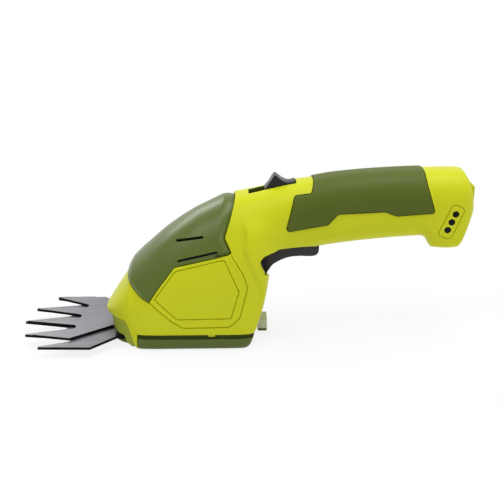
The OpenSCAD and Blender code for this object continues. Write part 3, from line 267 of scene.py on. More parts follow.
def around(bm, x0, x1, z0, z1, side=0):
    """Faces that meet a box in X and Z, on one side or on both."""
    out = set()
    for f in bm.faces:
        c = f.calc_center_median()
        if x0 - LOOK < c.x < x1 + LOOK and z0 - LOOK < c.z < z1 + LOOK and c.y * side >= 0:
            if meets(spans(f), x0, x1, z0, z1):
                out.add(f)
    return out


def slice_by(bm, pool, co, no):
    """Cut the pool of faces along a plane, and return the pool with the new faces in it."""
    geom = set(pool)
    for f in pool:
        geom.update(f.edges)
        geom.update(f.verts)
    res = bmesh.ops.bisect_plane(bm, geom=list(geom), dist=1e-4, plane_co=co, plane_no=no)
    out = {f for f in pool if f.is_valid}
    for e in res["geom_cut"]:
        if isinstance(e, bmesh.types.BMEdge):
            out.update(e.link_faces)
    return out


def segments(pts, closed=True):
    return zip(pts, pts[1:] + pts[:1]) if closed else zip(pts, pts[1:])


def follow(bm, pool, pts, reach, closed=True, up=2):
    """Cut the pool of faces along an outline in X and Z, or in X and Y where up is 1."""
    boxes = {f: spans(f, up) for f in pool}
    for (ax, au), (cx, cu) in segments(pts, closed):
        x0, x1 = min(ax, cx) - reach, max(ax, cx) + reach
        u0, u1 = min(au, cu) - reach, max(au, cu) + reach
        near = {f for f, box in boxes.items() if meets(box, x0, x1, u0, u1)}
        if near:
            at, across = Vector((ax, 0, 0)), Vector((au - cu, 0, 0))
            at[up], across[up] = au, cx - ax
            made = slice_by(bm, near, at, across.normalized())
            for f in near:
                boxes.pop(f, None)
            boxes.update((f, spans(f, up)) for f in made)


def cut(bm, pts, side=0, closed=True, reach=0.4):
    """Edges along an outline in X and Z, on one side or on both."""
    xs, zs = zip(*pts)
    pool = around(bm, min(xs) - reach, max(xs) + reach, min(zs) - reach, max(zs) + reach, side)
    follow(bm, pool, pts, reach, closed)


def cut_under(bm, pts, z0, z1, half, reach=0.2):
    """Edges along an outline in X and Y, on faces between two heights and near the middle plane."""
    xs = [p[0] for p in pts]
    pool = {f for f in around(bm, min(xs), max(xs), z0, z1) if abs(f.calc_center_median().y) < half}
    follow(bm, pool, pts, reach, up=1)


def cut_sides(bm, half, x0, x1, z0, z1):
    """Edges at both sides of the middle plane, on faces that meet a box in X and Z."""
    for y in (-half, half):
        slice_by(bm, around(bm, x0, x1, z0, z1), Vector((0, y, 0)), Vector((0, 1, 0)))


def area(pts):
    return sum(a[0] * b[1] - b[0] * a[1] for a, b in segments(pts)) / 2


def inset(pts, d, closed=True):
    """The outline drawn in by d (out where d is negative), with its corners kept."""
    sign = 1 if not closed or area(pts) > 0 else -1
    n = len(pts)
    out = []
    for i, p in enumerate(pts):
        a = pts[i - 1] if closed or i > 0 else None
        c = pts[(i + 1) % n] if closed or i < n - 1 else None
        ns = []
        for u, v in ((a, p), (p, c)):
            if u is not None and v is not None:
                l = math.hypot(v[0] - u[0], v[1] - u[1])
                ns.append((-(v[1] - u[1]) / l * sign, (v[0] - u[0]) / l * sign))
        sx, sz = sum(m[0] for m in ns), sum(m[1] for m in ns)
        k = len(ns) / max(sx * sx + sz * sz, 0.3) * d if len(ns) == 2 else d
        out.append((p[0] + sx * k, p[1] + sz * k))
    return out


def rounded(pts, radii, closed=True, steps=4):
    n = len(pts)
    out = []
    for i, p in enumerate(pts):
        r = radii[i] if isinstance(radii, (list, tuple)) else radii
        if r <= 0 or (not closed and i in (0, n - 1)):
            out.append(p)
            continue
        a, c = pts[i - 1], pts[(i + 1) % n]
        u, v = np.subtract(a, p), np.subtract(c, p)
        lu, lv = np.hypot(*u), np.hypot(*v)
        bend = math.acos(max(-1, min(1, float(np.dot(u, v) / lu / lv))))
        t = min(r / max(math.tan(bend / 2), 1e-3), 0.45 * lu, 0.45 * lv)
        s, e = np.add(p, u / lu * t), np.add(p, v / lv * t)
        for k in range(steps + 1):
            w = k / steps
            q = (1 - w) ** 2 * s + 2 * w * (1 - w) * np.array(p) + w * w * e
            out.append((float(q[0]), float(q[1])))
    return out


def inside(pts, x, z):
    hit = False
    for (ax, az), (cx, cz) in segments(pts):
        if (az > z) != (cz > z) and x < ax + (z - az) / (cz - az) * (cx - ax):
            hit = not hit
    return hit


def distance(co, pts, closed=True):
    """Distance of each vertex from an outline, as seen from the side."""
    p = co[:, (0, 2)]
    best = np.full(len(p), 1e9)
    for a, c in segments(pts, closed):
        a, c = np.array(a), np.array(c)
        s = np.clip(((p - a) @ (c - a)) / max((c - a) @ (c - a), 1e-9), 0, 1)
        best = np.minimum(best, np.hypot(*(p - a - s[:, None] * (c - a)).T))
    return best


def rim(d, r):
    """How far a round edge of radius r has fallen at the distance d from it."""
    d = np.minimum(np.maximum(d, 0), r)
    return r - np.sqrt(np.maximum(r * r - (r - d) ** 2, 0))


def corners(x0, x1, z0, z1):
    return [(x0, z0), (x1, z0), (x1, z1), (x0, z1)]


def circle(x, z, r, count=20):
    turns = [2 * math.pi * k / count for k in range(count)]
    return [(x + r * math.cos(t), z + r * math.sin(t)) for t in turns]


def stadium(ax, az, cx, cz, r, count=5):
    """Outline of a slot with round ends, from one centre to the other."""
    t = math.atan2(cz - az, cx - ax)
    out = []
    for x, z, t0 in ((cx, cz, t - math.pi / 2), (ax, az, t + math.pi / 2)):
        out += [(x + r * math.cos(t0 + math.pi * k / count), z + r * math.sin(t0 + math.pi * k / count))
                for k in range(count + 1)]
    return out


def turned(pts, x, z, deg):
    c, s = math.cos(math.radians(deg)), math.sin(math.radians(deg))
    return [(x + u * c - w * s, z + u * s + w * c) for u, w in pts]


# outlines on the side of the housing
HOOD = body_line([
    (0.06, 0.59), (0.155, 0.462), (0.183, 0.433), (0.226, 0.387), (0.287, 0.346), (0.342, 0.435),
    (0.442, 0.581), (0.761, 0.669), (0.784, 0.688), (0.744, 0.779), (0.783, 0.912), (0.812, 1.02),
    (0.812, 1.3), (0.06, 1.3)], BODY_H)
HOOD = rounded(HOOD, [0, 0, 0, 0, 0.8, 0, 1.5, 0.6, 0.8, 3, 0, 0, 0, 0], steps=3)
GRIP = handle_line([
    (0.26, 1.05), (0.21, 0.894), (0.13, 0.883), (0.091, 0.705), (0.101, 0.689), (0.288, 0.7248),
    (0.335, 0.788), (0.564, 0.801), (0.62, 0.775), (0.8, 0.793), (0.782, 0.86),
    (0.76, 0.945), (0.755, 0.98), (0.757, 1), (0.762, 1.05)], HANDLE_TOP)
GRIP_REAR = rounded(GRIP[-6:], [0, 14, 6, 3, 0, 0], closed=False, steps=3)
GRIP = rounded(GRIP, [0, 0.8, 2, 2.2, 2.2, 2, 3, 3, 3, 1.6, 14, 6, 3, 0, 0], steps=3)
PANEL_OUT = rounded(
    [(-66, 36.5), (-50.4, 22), (-42.9, 17.3), (-10.4, 17.8), (-3.4, 24.6), (2.1, 47), (-1.2, 56.6),
     (-9, 69.5)], [0, 3, 5, 6, 5, 4, 3, 0], closed=False)
PANEL_IN = rounded(
    [(-62, 38.6), (-47.6, 57.8), (-13.9, 66.6), (-3.9, 44.1), (-9.6, 24.3), (-46.9, 23.8)],
    [0.6, 0.8, 1.2, 1, 2, 3])
VENT_R = 0.75
VENTS = [stadium(bx(a), b * BODY_H, bx(c), d * BODY_H, VENT_R)
         for a, b, c, d in ((0.462, 0.735, 0.616, 0.771), (0.47, 0.623, 0.698, 0.688))]
LAMP_X, LAMP_Z, LAMP_TILT = hx(0.8836), 0.739 * HANDLE_TOP, 67
PILL_U, PILL_W, PILL_R, PILL_GAP = 12.0, 4.75, 3.0, 0.17
PILL = turned(rounded(corners(-PILL_U, PILL_U, -PILL_W, PILL_W), PILL_R), LAMP_X, LAMP_Z, LAMP_TILT)
DOT_PITCH, DOT_R = 6.1, 2.35
DOTS = [circle(*turned([(u, 0)], LAMP_X, LAMP_Z, LAMP_TILT)[0], DOT_R)
        for u in (-DOT_PITCH, 0, DOT_PITCH)]
WELL_R = 3.1
WELLS = [(bx(0.174), 0.327 * BODY_H), (bx(0.8), 0.288 * BODY_H), (bx(0.885), 0.885 * BODY_H),
         (hx(0.8135), 0.628 * HANDLE_TOP), (hx(0.8685), 0.945 * HANDLE_TOP)]
LEG_X = bx(0.2045) + 0.24
COVER_X = LEG_X + GAP
COVER_Z = SEAM_Z - GAP
BAND_Z = COVER_Z - 2.4
BAND_DEEP, BAND_STEP = 1.4, 0.5

# openings in the skin
SLOT_X0, SLOT_X1, SLOT_HALF = bx(0.887), hx(0.141), 5.2
SLOT_TILT = math.atan2(float(top(SLOT_X1) - top(SLOT_X0)), SLOT_X1 - SLOT_X0)
SLOT_L = (SLOT_X1 - SLOT_X0) / math.cos(SLOT_TILT)
SLOT_X, SLOT_Z = (SLOT_X0 + SLOT_X1) / 2, float(top(SLOT_X0) + top(SLOT_X1)) / 2
TRIGGER_X, TRIGGER_Z, TRIGGER_REACH, TRIGGER_HALF = hx(0) + 3, UNDER_Z + 4.6, 33.6, 7.5
TRIGGER_TOP = TRIGGER_Z + 5.5
TRIGGER_SLOT = (TRIGGER_X - 0.24 * TRIGGER_REACH, TRIGGER_X + TRIGGER_REACH + 3 * GAP,
                TRIGGER_Z - 0.64 * TRIGGER_REACH, TRIGGER_TOP)
BUTTON_Z, BUTTON_H, BUTTON_HALF, BUTTON_X0 = 0.862 * HANDLE_TOP, 18.4, 7.5, REAR_X - 9.5
END_X = cad_box[1][0] / MM
NOTCH_EDGE = rounded([
    (52, 67.9), (46, 69.8), (38.5, 70.2), (28, 69.9), (18.6, 69.2), (12.4, 67.8), (9.6, 64.8),
    (11.6, 59), (13.5, 56.1), (15, 54.5)], [0, 9, 9, 9, 9, 5, 2.5, 4, 3, 0], closed=False, steps=5)
NOTCH_END = [(16.8, 52.7), (18.6, 50)]
NOTCH = NOTCH_EDGE + NOTCH_END + [(30, 45), (58, 55)]
CHEEK_EDGE = [(-93.4, 21.2), (-83.1, 21.2), (-79.3, 11.3)]
CHEEK_FROM = 15.0
CHEEK = CHEEK_EDGE + [(-83, 6), (-93.4, 6)]
# sloped cut in the rear wall beside the trigger
RELIEF_Y, RELIEF_Z, RELIEF_SLOPE, RELIEF_TOP = 8.0, 46.5, 0.374, 62.0
# fold between the side and the neck: where it fades across, at its top, at its foot and at the rear wall
CREASE = [(-0.5, 83.6), (-1.6, 72.8), (3.4, 59.2), (9.7, 43.8), (10.7, 36.7), (9.2, 27.6), (6.5, 16)]
CREASE_RISE, CREASE_W, CREASE_FADE = 1.8, 3.2, 26.0
CREASE_Y, CREASE_Y_FADE = 10.0, 12.0
CREASE_TOP, CREASE_TOP_FADE = 96.0, 14.0
CREASE_FOOT, CREASE_FOOT_FADE = 13.0, 8.0
CREASE_REAR_FADE = 6.0
low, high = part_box("charging_jack")
JACK_X, JACK_Z, JACK_R = (low.x + high.x) / 2 / MM, low.z / MM + 1, 3.0

# round edges, grooves and beads
RIM = 0.45
GROOVE, GROOVE_DEEP = 0.55, 1.1
GRIP_SEAM, GRIP_SEAM_DEEP, GRIP_RIM, GRIP_MIDDLE = 0.6, 0.9, 0.6, 0.12
SIDE_Y = 12.0
BEAD_IN, BEAD_W, BEAD_RISE = 1.2, 0.7, 0.25
REAR_BEAD_X, REAR_BEAD_W, REAR_BEAD_RISE = 0.5, 0.65, 0.35
PILL_RIM, PILL_EDGE, PILL_RISE = 0.25, 0.3, 0.1
HOOD_LIFT, HOOD_RISE, HOOD_RIM = 0.4, 1.1, 0.7
HOOD_RAMP, HOOD_EDGE, HOOD_EDGE_LEFT = 25.0, 3.0, 0.25
LIP_RISE, LIP_IN = 0.5, 0.8
ROLL_W, ROLL_WIDER, ROLL_DROP, ROLL_FADE = 3.4, 2.4, 0.3, 8.0

# distances from the outlines at which the skin gets edges
EDGE_STEPS = (0, 0.15, RIM)
HOOD_RINGS = (0, -0.15, -RIM) + tuple(GAP + d for d in (0, 0.3, 0.8, 1.8, 3.2, 4.5, 5.8))
GRIP_RINGS = (-GRIP_SEAM, 0, 0.2, 0.7)
PANEL_RINGS = (-GROOVE, 0, GROOVE)
BEAD_RINGS = (BEAD_IN - 0.6, BEAD_IN, BEAD_IN + BEAD_W)
PILL_RINGS = (-PILL_GAP - 0.25, -PILL_GAP, PILL_GAP, PILL_GAP + 0.3)
CREASE_RINGS = (0, CREASE_W / 3, 2 * CREASE_W / 3, CREASE_W)


def slot_u(x, z):
    """Place along the slot, from its middle."""
    return (x - SLOT_X) * math.cos(SLOT_TILT) + (z - SLOT_Z) * math.sin(SLOT_TILT)


def slot_points(pts):
    """Points given along the slot and out of it, in X and Z."""
    return turned(pts, SLOT_X, SLOT_Z, math.degrees(SLOT_TILT))


# the skin, with an edge wherever a piece ends or its surface bends
skin = whole_skin()
for d in HOOD_RINGS:
    cut(skin, inset(HOOD, d))
for d in GRIP_RINGS:
    cut(skin, inset(GRIP, d))
for d in (1.1, REAR_BEAD_X):
    cut(skin, [(x + d, z) for x, z in GRIP_REAR], closed=False)
for d in PANEL_RINGS:
    cut(skin, inset(PANEL_OUT, d, closed=False), closed=False)
    cut(skin, inset(PANEL_IN, d))
for d in BEAD_RINGS:
    cut(skin, inset(PANEL_OUT, d, closed=False), closed=False)
for vent in VENTS:
    cut(skin, vent)
for d in PILL_RINGS:
    cut(skin, inset(PILL, d), side=-1)
for dot in DOTS:
    cut(skin, dot, side=-1)
for well in WELLS:
    cut(skin, circle(*well, WELL_R), side=1)
for z in ([SEAM_Z + d for d in EDGE_STEPS] + [COVER_Z - d for d in EDGE_STEPS]
          + [BAND_Z, BAND_Z - BAND_STEP]):
    cut(skin, [(LEG_X - 1, z), (hx(0.1), z)], closed=False)
for x in [LEG_X - d for d in EDGE_STEPS] + [COVER_X + d for d in EDGE_STEPS]:
    cut(skin, [(x, -1), (x, SEAM_Z + 1)], closed=False)
MOUTH_TOP = LIP_Z - 0.2
cut(skin, [(NOSE_X - 1, MOUTH_TOP), (LEG_X, MOUTH_TOP)], closed=False)
cut_sides(skin, MOUTH_HALF, NOSE_X, bx(0.27), -1, LIP_Z + 2)
SLOT_CUT = 3.0
for u in (-SLOT_L / 2, SLOT_L / 2):
    cut(skin, slot_points([(u, -SLOT_CUT), (u, SLOT_CUT)]), closed=False)
cut_sides(skin, SLOT_HALF, SLOT_X0 - 1, SLOT_X1 + 1, SLOT_Z - 6, SLOT_Z + 8)
trigger_x0, trigger_x1, trigger_z0, trigger_z1 = TRIGGER_SLOT
cut(skin, [(trigger_x0, trigger_z0), (trigger_x0 + 14, trigger_z0)], closed=False)
cut(skin, [(trigger_x1, trigger_z0 + 8), (trigger_x1, trigger_z1)], closed=False)
cut_sides(skin, TRIGGER_HALF + GAP, *TRIGGER_SLOT)
button_z0, button_z1 = BUTTON_Z - BUTTON_H / 2, BUTTON_Z + BUTTON_H / 2
for z in (button_z0 - GAP, button_z1 + GAP):
    cut(skin, [(BUTTON_X0, z), (END_X, z)], closed=False)
cut_sides(skin, BUTTON_HALF + GAP, BUTTON_X0, END_X, button_z0 - 1, button_z1 + 1)
cut(skin, NOTCH_EDGE + NOTCH_END, closed=False)
cut(skin, CHEEK_EDGE, closed=False)
for d in CREASE_RINGS:
    cut(skin, inset(CREASE, d, closed=False), closed=False)
for s in (-1, 1):
    pool = around(skin, hx(0) - 3, hx(0) + 6, RELIEF_Z - 3, RELIEF_Z + 12, side=s)
    slope = Vector((0, -s * RELIEF_SLOPE, 1)).normalized()
    slice_by(skin, pool, Vector((0, s * RELIEF_Y, RELIEF_Z)), slope)
cut_under(skin, circle(JACK_X, 0, JACK_R), JACK_Z - 8, JACK_Z - 1, 3 * JACK_R)
skin.normal_update()
skin.verts.ensure_lookup_table()

hood_edge, pill_edge, pill_hole = inset(HOOD, GAP), inset(PILL, PILL_GAP), inset(PILL, -PILL_GAP)


def opened(x, y, z, normal):
    """Whether a face of the two halves lies where the housing is open."""
    if abs(y) < SLOT_HALF and abs(slot_u(x, z)) < SLOT_L / 2 and normal.z > 0.3:
        return True
    if abs(y) < TRIGGER_HALF + GAP and trigger_x0 < x < trigger_x1 and trigger_z0 < z < trigger_z1:
        return True
    if inside(NOTCH, x, z):
        return True
    if (normal.x > 0.4 and hx(0) - 3 < x < hx(0.1) and z < RELIEF_TOP
            and z - RELIEF_Z > RELIEF_SLOPE * (abs(y) - RELIEF_Y)):
        return True
    if abs(y) > CHEEK_FROM and inside(CHEEK, x, z):
        return True
    if math.hypot(x - JACK_X, y) < 0.99 * JACK_R and z < JACK_Z:
        return True
    if abs(y) < BUTTON_HALF + GAP and x > BUTTON_X0 and abs(z - BUTTON_Z) < BUTTON_H / 2 + GAP:
        return True
    return y > 0 and any(math.hypot(x - a, z - b) < WELL_R * 0.99 for a, b in WELLS)


def piece_at(x, y, z, normal):
    """The piece that a face of the skin belongs to, or None where the skin is open."""
    if x > LEG_X and z < SEAM_Z:
        return "cover" if x > COVER_X and z < COVER_Z else None
    if abs(y) < MOUTH_HALF and x < LEG_X and z < MOUTH_TOP:
        return None
    if inside(HOOD, x, z):
        return "hood" if inside(hood_edge, x, z) and not any(inside(v, x, z) for v in VENTS) else None
    if opened(x, y, z, normal):
        return None
    if y < 0 and inside(pill_hole, x, z):
        return "pill" if inside(pill_edge, x, z) and not any(inside(d, x, z) for d in DOTS) else None
    return "left" if y < 0 else "right"


groups = {k: [] for k in ("left", "right", "hood", "cover", "pill", "left_grip", "right_grip")}
for f in skin.faces:
    x, y, z = f.calc_center_median()
    if inside(GRIP, x, z):
        groups["left_grip" if y < 0 else "right_grip"].append(f)
    piece = piece_at(x, y, z, f.normal)
    if piece:
        groups[piece].append(f)


def finish_mesh(name, verts, faces, angle=32):
    """An object of the given faces, smooth but for edges sharper than angle."""
    me = bpy.data.meshes.new(name)
    me.from_pydata([tuple(c * MM for c in v) for v in verts], [], faces)
    me.validate()
    me.polygons.foreach_set("use_smooth", [True] * len(me.polygons))
    me.set_sharp_from_angle(angle=math.radians(angle))
    ob = bpy.data.objects.new(name, me)
    bpy.context.scene.collection.objects.link(ob)
    return ob


def from_bmesh(name, bm, angle):
    bm.verts.index_update()
    verts = [tuple(v.co) for v in bm.verts]
    faces = [[v.index for v in f.verts] for f in bm.faces]
    bm.free()
    return finish_mesh(name, verts, faces, angle)


first_wall = {}


def shell(name, faces, lift, thick):
    """A piece of the skin, moved along its normals by lift and given a thickness."""
    seen = {}
    co, no, out = [], [], []
    for f in faces:
        row = []
        for v in f.verts:
            if v.index not in seen:
                seen[v.index] = len(co)
                co.append(tuple(v.co))
                no.append(tuple(v.normal))
            row.append(seen[v.index])
        out.append(row)
    co, no = np.array(co), np.array(no)
    outer = co + no * lift(co)[:, None]
    inner = outer - no * thick
    n = len(co)
    sides = {side: True for row in out for side in segments(row)}
    walls = [[b, a, a + n, b + n] for a, b in sides if (b, a) not in sides]
    back = [[i + n for i in row[::-1]] for row in out]
    first_wall[name] = 2 * len(out)
    return finish_mesh(name, np.concatenate([outer, inner]), out + back + walls)


def ridge(d, w):
    return np.maximum(0, 1 - d / w)


def ease(t):
    t = np.clip(t, 0, 1)
    return t * t * (3 - 2 * t)


def crease_lift(co):
    """A soft fold between the flat side and the neck."""
    d = distance(co, CREASE, closed=False)
    xs, zs = zip(*CREASE[::-1])
    behind = co[:, 0] > np.interp(co[:, 2], zs, xs)
    across = (ease((np.abs(co[:, 1]) - CREASE_Y) / CREASE_Y_FADE)
              * ease((CREASE_TOP - co[:, 2]) / CREASE_TOP_FADE)
              * ease((co[:, 2] - CREASE_FOOT) / CREASE_FOOT_FADE))
    walls, heights = zip(*body_line(REAR_WALL, UNDER_Z))
    room = (np.interp(co[:, 2], heights, walls) - co[:, 0]) / CREASE_REAR_FADE
    across = across * ease(room + (co[:, 2] > UNDER_Z) * 9)
    return CREASE_RISE * behind * ease(d / CREASE_W) * (1 - ease((d - CREASE_W) / CREASE_FADE)) * across


def housing_lift(co):
    """Round edges, fold, grooves and beads of the two halves."""
    h = crease_lift(co) - rim(distance(co, HOOD), RIM)
    h -= np.where(co[:, 0] > LEG_X - 1, rim(np.abs(co[:, 2] - SEAM_Z), RIM), 0)
    h -= np.where(co[:, 2] < SEAM_Z, rim(np.abs(co[:, 0] - LEG_X), RIM), 0)
    beside = np.abs(co[:, 1]) > SIDE_Y
    for pts, closed in ((PANEL_OUT, False), (PANEL_IN, True)):
        h -= GROOVE_DEEP * ridge(distance(co, pts, closed), GROOVE) * beside
    bead = distance(co, inset(PANEL_OUT, BEAD_IN, closed=False), closed=False)
    h += BEAD_RISE * ridge(bead, BEAD_W) * beside
    h -= GRIP_SEAM_DEEP * ridge(distance(co, GRIP), GRIP_SEAM)
    h -= np.where(co[:, 1] < 0, rim(distance(co, PILL) - PILL_GAP, PILL_RIM), 0)
    bead = distance(co, [(x + REAR_BEAD_X, z) for x, z in GRIP_REAR], closed=False)
    return h + REAR_BEAD_RISE * ridge(bead, REAR_BEAD_W)


def hood_lift(co):
    """The hood stands proud to the rear, with a lip in front and a rolled rear edge."""
    d = distance(co, hood_edge)
    ramp = np.clip((co[:, 0] - bx(0.35)) / HOOD_RAMP, 0, 1)
    rear = np.clip((co[:, 0] - bx(0.62)) / ROLL_FADE, 0, 1) * (co[:, 2] > 0.66 * BODY_H)
    wide = ROLL_W + ROLL_WIDER * np.clip((co[:, 2] - 0.78 * BODY_H) / 20, 0, 1)
    roll = (HOOD_RISE / wide + ROLL_DROP) * np.maximum(0, wide - d) * rear
    front = (co[:, 0] < bx(0.3)) * (co[:, 2] < 0.62 * BODY_H)
    lip = LIP_RISE * np.maximum(0, 1 - np.abs(d - LIP_IN)) * front
    rise = HOOD_RISE * ramp * np.clip(d / HOOD_EDGE, HOOD_EDGE_LEFT, 1)
    return lip + HOOD_LIFT + rise - rim(d, HOOD_RIM) - roll


def cover_lift(co):
    """Round edges of the cover, and the recessed band under its seam."""
    h = -rim(np.abs(co[:, 2] - COVER_Z), RIM)
    h -= rim(np.abs(co[:, 0] - COVER_X), RIM)
    return h - BAND_DEEP * np.clip((co[:, 2] - BAND_Z + BAND_STEP) / BAND_STEP, 0, 1)


def grip_lift(co):
    return GRIP_T - rim(distance(co, GRIP), GRIP_RIM) - rim(np.abs(co[:, 1]), GRIP_MIDDLE)


def pill_lift(co):
    return PILL_RISE - rim(distance(co, pill_edge), PILL_EDGE)


SKIN_T = 2.0
# depth and thickness of a dark sheet inside the hood behind the vents: painted shade seen through the vents
VENT_SHADE_DEEP, VENT_SHADE_T = 3.4, 0.6
left_skin = shell("left_shell", groups["left"], housing_lift, SKIN_T)
right_skin = shell("right_shell", groups["right"], housing_lift, SKIN_T)
hood_skin = shell("hood_shell", groups["hood"], hood_lift, SKIN_T)
cover_skin = shell("cover_shell", groups["cover"], cover_lift, SKIN_T - 0.2)
left_grip = shell("left_grip_skin", groups["left_grip"], grip_lift, GRIP_T - 0.03)
right_grip = shell("right_grip_skin", groups["right_grip"], grip_lift, GRIP_T - 0.03)
vent_shade_edge = inset(HOOD, 3)
vent_shade_faces = []
for f in skin.faces:
    x, y, z = f.calc_center_median()
    if bx(0.44) < x < bx(0.72) and 0.58 * BODY_H < z < 0.82 * BODY_H and inside(vent_shade_edge, x, z):
        vent_shade_faces.append(f)
vent_shade_sheet = shell("vent_shade_sheet", vent_shade_faces, lambda co: np.full(len(co), -VENT_SHADE_DEEP), VENT_SHADE_T)
pill_skin = shell("indicator_cover", groups["pill"], pill_lift, SKIN_T)


def smooth(pts, steps=5):
    """Points along a curve through the given ones."""
    out = []
    n = len(pts)
    for i in range(n - 1):
        p0, p1, p2, p3 = (np.array(pts[max(0, min(n - 1, k))], float) for k in (i - 1, i, i + 1, i + 2))
        for k in range(steps):
            t = k / steps
            out.append(tuple(0.5 * (2 * p1 + (p2 - p0) * t + (2 * p0 - 5 * p1 + 4 * p2 - p3) * t ** 2
                                    + (3 * p1 - p0 - 3 * p2 + p3) * t ** 3)))
    return out + [tuple(pts[-1])]


def raised(outline, axis, level):
    """A flat outline and its copy at a level along an axis, as a closed solid."""
    bm = bmesh.new()
    face = bm.faces.new([bm.verts.new(c) for c in outline])
    res = bmesh.ops.extrude_face_region(bm, geom=[face])
    for v in res["geom"]:
        if isinstance(v, bmesh.types.BMVert):
            v.co[axis] = level
    return bm


def bar(name, pts, y0, y1, r, steps=3, angle=40):
    """An outline in X and Z run across from y0 to y1, with its long edges rounded."""
    bm = raised([(x, y0, z) for x, z in pts], 1, y1)
    edges = [e for e in bm.edges if abs(e.verts[0].co.y - e.verts[1].co.y) < 1e-6]
    bmesh.ops.bevel(bm, geom=edges, offset=r, segments=steps, profile=0.5, affect="EDGES",
                    clamp_overlap=True)
    bmesh.ops.recalc_face_normals(bm, faces=bm.faces)
    return from_bmesh(name, bm, angle)


# trigger
under = [(-0.157, -0.607), (-0.09, -0.54), (0.01, -0.395), (0.085, -0.328), (0.24, -0.245), (0.418, -0.192),
         (0.615, -0.176), (0.808, -0.183), (0.927, -0.165), (0.984, -0.11), (1, -0.03)]
front = [(-0.134, 0.03), (-0.207, -0.26), (-0.222, -0.355), (-0.2, -0.46), (-0.157, -0.607)]
trigger_pts = [(TRIGGER_X + TRIGGER_REACH * a, TRIGGER_Z + TRIGGER_REACH * b)
               for a, b in smooth(under) + [(1, 0.16), (0, 0.16)] + smooth(front)[:-1]]
trigger = bar("trigger_lever", trigger_pts, -TRIGGER_HALF, TRIGGER_HALF, 1.6, steps=4)

# lock-out slider
TRAVEL = 9.0
S0, S1 = TRAVEL - SLOT_L / 2 + 1.4, SLOT_L / 2 - 0.8
THUMB_H, THUMB_Z, THUMB_LOW = 7.6, 0.5, -6.0
THUMB_X0 = S0 + 0.05 * (S1 - S0)
thumb = [(0, 0), (0.14, 0.3), (0.3, 0.78), (0.37, 0.97), (0.41, 1), (0.46, 0.95), (0.54, 0.66),
         (0.63, 0.38), (0.75, 0.14), (0.88, 0.07), (1, 0.1)]
slider_pts = slot_points(
    [(THUMB_X0 + (S1 - THUMB_X0) * a, THUMB_Z + THUMB_H * b) for a, b in smooth(thumb)]
    + [(S1, THUMB_LOW), (THUMB_X0, THUMB_LOW)])
slider = bar("thumb_slider", slider_pts, -SLOT_HALF + GAP, SLOT_HALF - GAP, 0.7, steps=3, angle=30)
slider_foot = bar("slider_foot", slot_points(corners(S0, S1, -6.6, -4.4)),
                  -SLOT_HALF - 1.5, SLOT_HALF + 1.5, 0.3)

# check button and release tab
BUTTON_IN = BUTTON_X0 + 1.6
button = bar("check_key", rounded([
    (BUTTON_IN, button_z0), (END_X, button_z0), (END_X, BUTTON_Z + 0.3 * BUTTON_H),
    (END_X - 0.2 * BUTTON_H, button_z1), (BUTTON_IN, button_z1)], [0, 0.6, 0.5, 0.6, 0]),
    -BUTTON_HALF, BUTTON_HALF, 0.5, angle=35)
tab_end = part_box("release_tab")[1]
T0, T1, TZ0, TZ1, TH = bx(0.9425), tab_end.x / MM, 2.4, 11.0, tab_end.y / MM
tab = bar("release_key", rounded(corners(T0, T1, TZ0, TZ1), [0.4, 0.9, 0.9, 0.4]), -TH, TH, 0.7)
lip_pts = rounded(corners(T0 + 0.6, T1 - 0.3, TZ0 - 0.3, TZ0 + 1.6), 0.3)
tab_lip = bar("release_lip", lip_pts, -TH - 0.25, TH + 0.25, 0.2)

# tongue of the cover, and lugs at the seam
low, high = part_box("base_cover")
TONGUE_X, TONGUE_Z, TONGUE_HALF = low.x / MM, 5.7, MOUTH_HALF - 3 * GAP
tongue = bar("cover_tongue", [
    (COVER_X + WALL, 0.02), (COVER_X, 0.02), (TONGUE_X + WALL, 0.7 * TONGUE_Z), (TONGUE_X, TONGUE_Z),
    (TONGUE_X + 2 * WALL, TONGUE_Z), (bx(0.17) - 1, 3.1), (COVER_X + WALL, WALL)],
    -TONGUE_HALF, TONGUE_HALF, 0.5, angle=30)
LUG_Y, LUG_HALF = HALF_W - 1.2, 0.8
lug_pts = rounded(corners(-25.6, -20.8, SEAM_Z - 1.3, SEAM_Z + 1), 0.4)
lugs = [bar("seam_lug", lug_pts, s * LUG_Y - LUG_HALF, s * LUG_Y + LUG_HALF, 0.3) for s in (-1, 1)]


def ring_faces(rings, n, closed=False):
    """Faces between successive rings of n vertices, and the ends where the rings don't close."""
    faces = []
    for i in range(rings if closed else rings - 1):
        j = (i + 1) % rings
        for k in range(n):
            m = (k + 1) % n
            faces.append([i * n + k, i * n + m, j * n + m, j * n + k])
    if not closed:
        faces += [list(range(n))[::-1], [(rings - 1) * n + k for k in range(n)]]
    return faces


def revolve(name, x, z, profile, count=28, angle=35):
    """Rings about an axis along Y: each of profile is a radius and a y."""
    verts = [(a, y, b) for r, y in profile for a, b in circle(x, z, r, count)]
    return finish_mesh(name, verts, ring_faces(len(profile), count, closed=True), angle)


def side_y(x, z):
    """Half width of the housing at a place on its side."""
    y, zz = half_ring(x)
    k = int(np.argmax(y))
    if z > zz[k]:
        return float(np.interp(-z, -zz[:k + 1], y[:k + 1]))
    return float(np.interp(-z, -zz[k:], y[k:]))


# walls of the screw wells: bore, floor with the hole for the screw, and outer round
wells = []
WELL_DEPTH, WELL_FLOOR, WELL_SINK, WELL_OUT, SCREW_R = 12.0, 1.0, 0.4, 4.0, 1.6
WELL_TURNS = np.linspace(0, 6, 9)
for x, z in WELLS:
    y = min(side_y(x + WELL_R * math.cos(a), z + WELL_R * math.sin(a)) for a in WELL_TURNS) - WELL_SINK
    y1, y2 = y - WELL_DEPTH, y - WELL_DEPTH - WELL_FLOOR
    wells.append(revolve("screw_well", x, z, [
        (WELL_R, y), (WELL_R, y1), (SCREW_R, y1), (SCREW_R, y2), (WELL_OUT, y2), (WELL_OUT, y - 1.7)]))


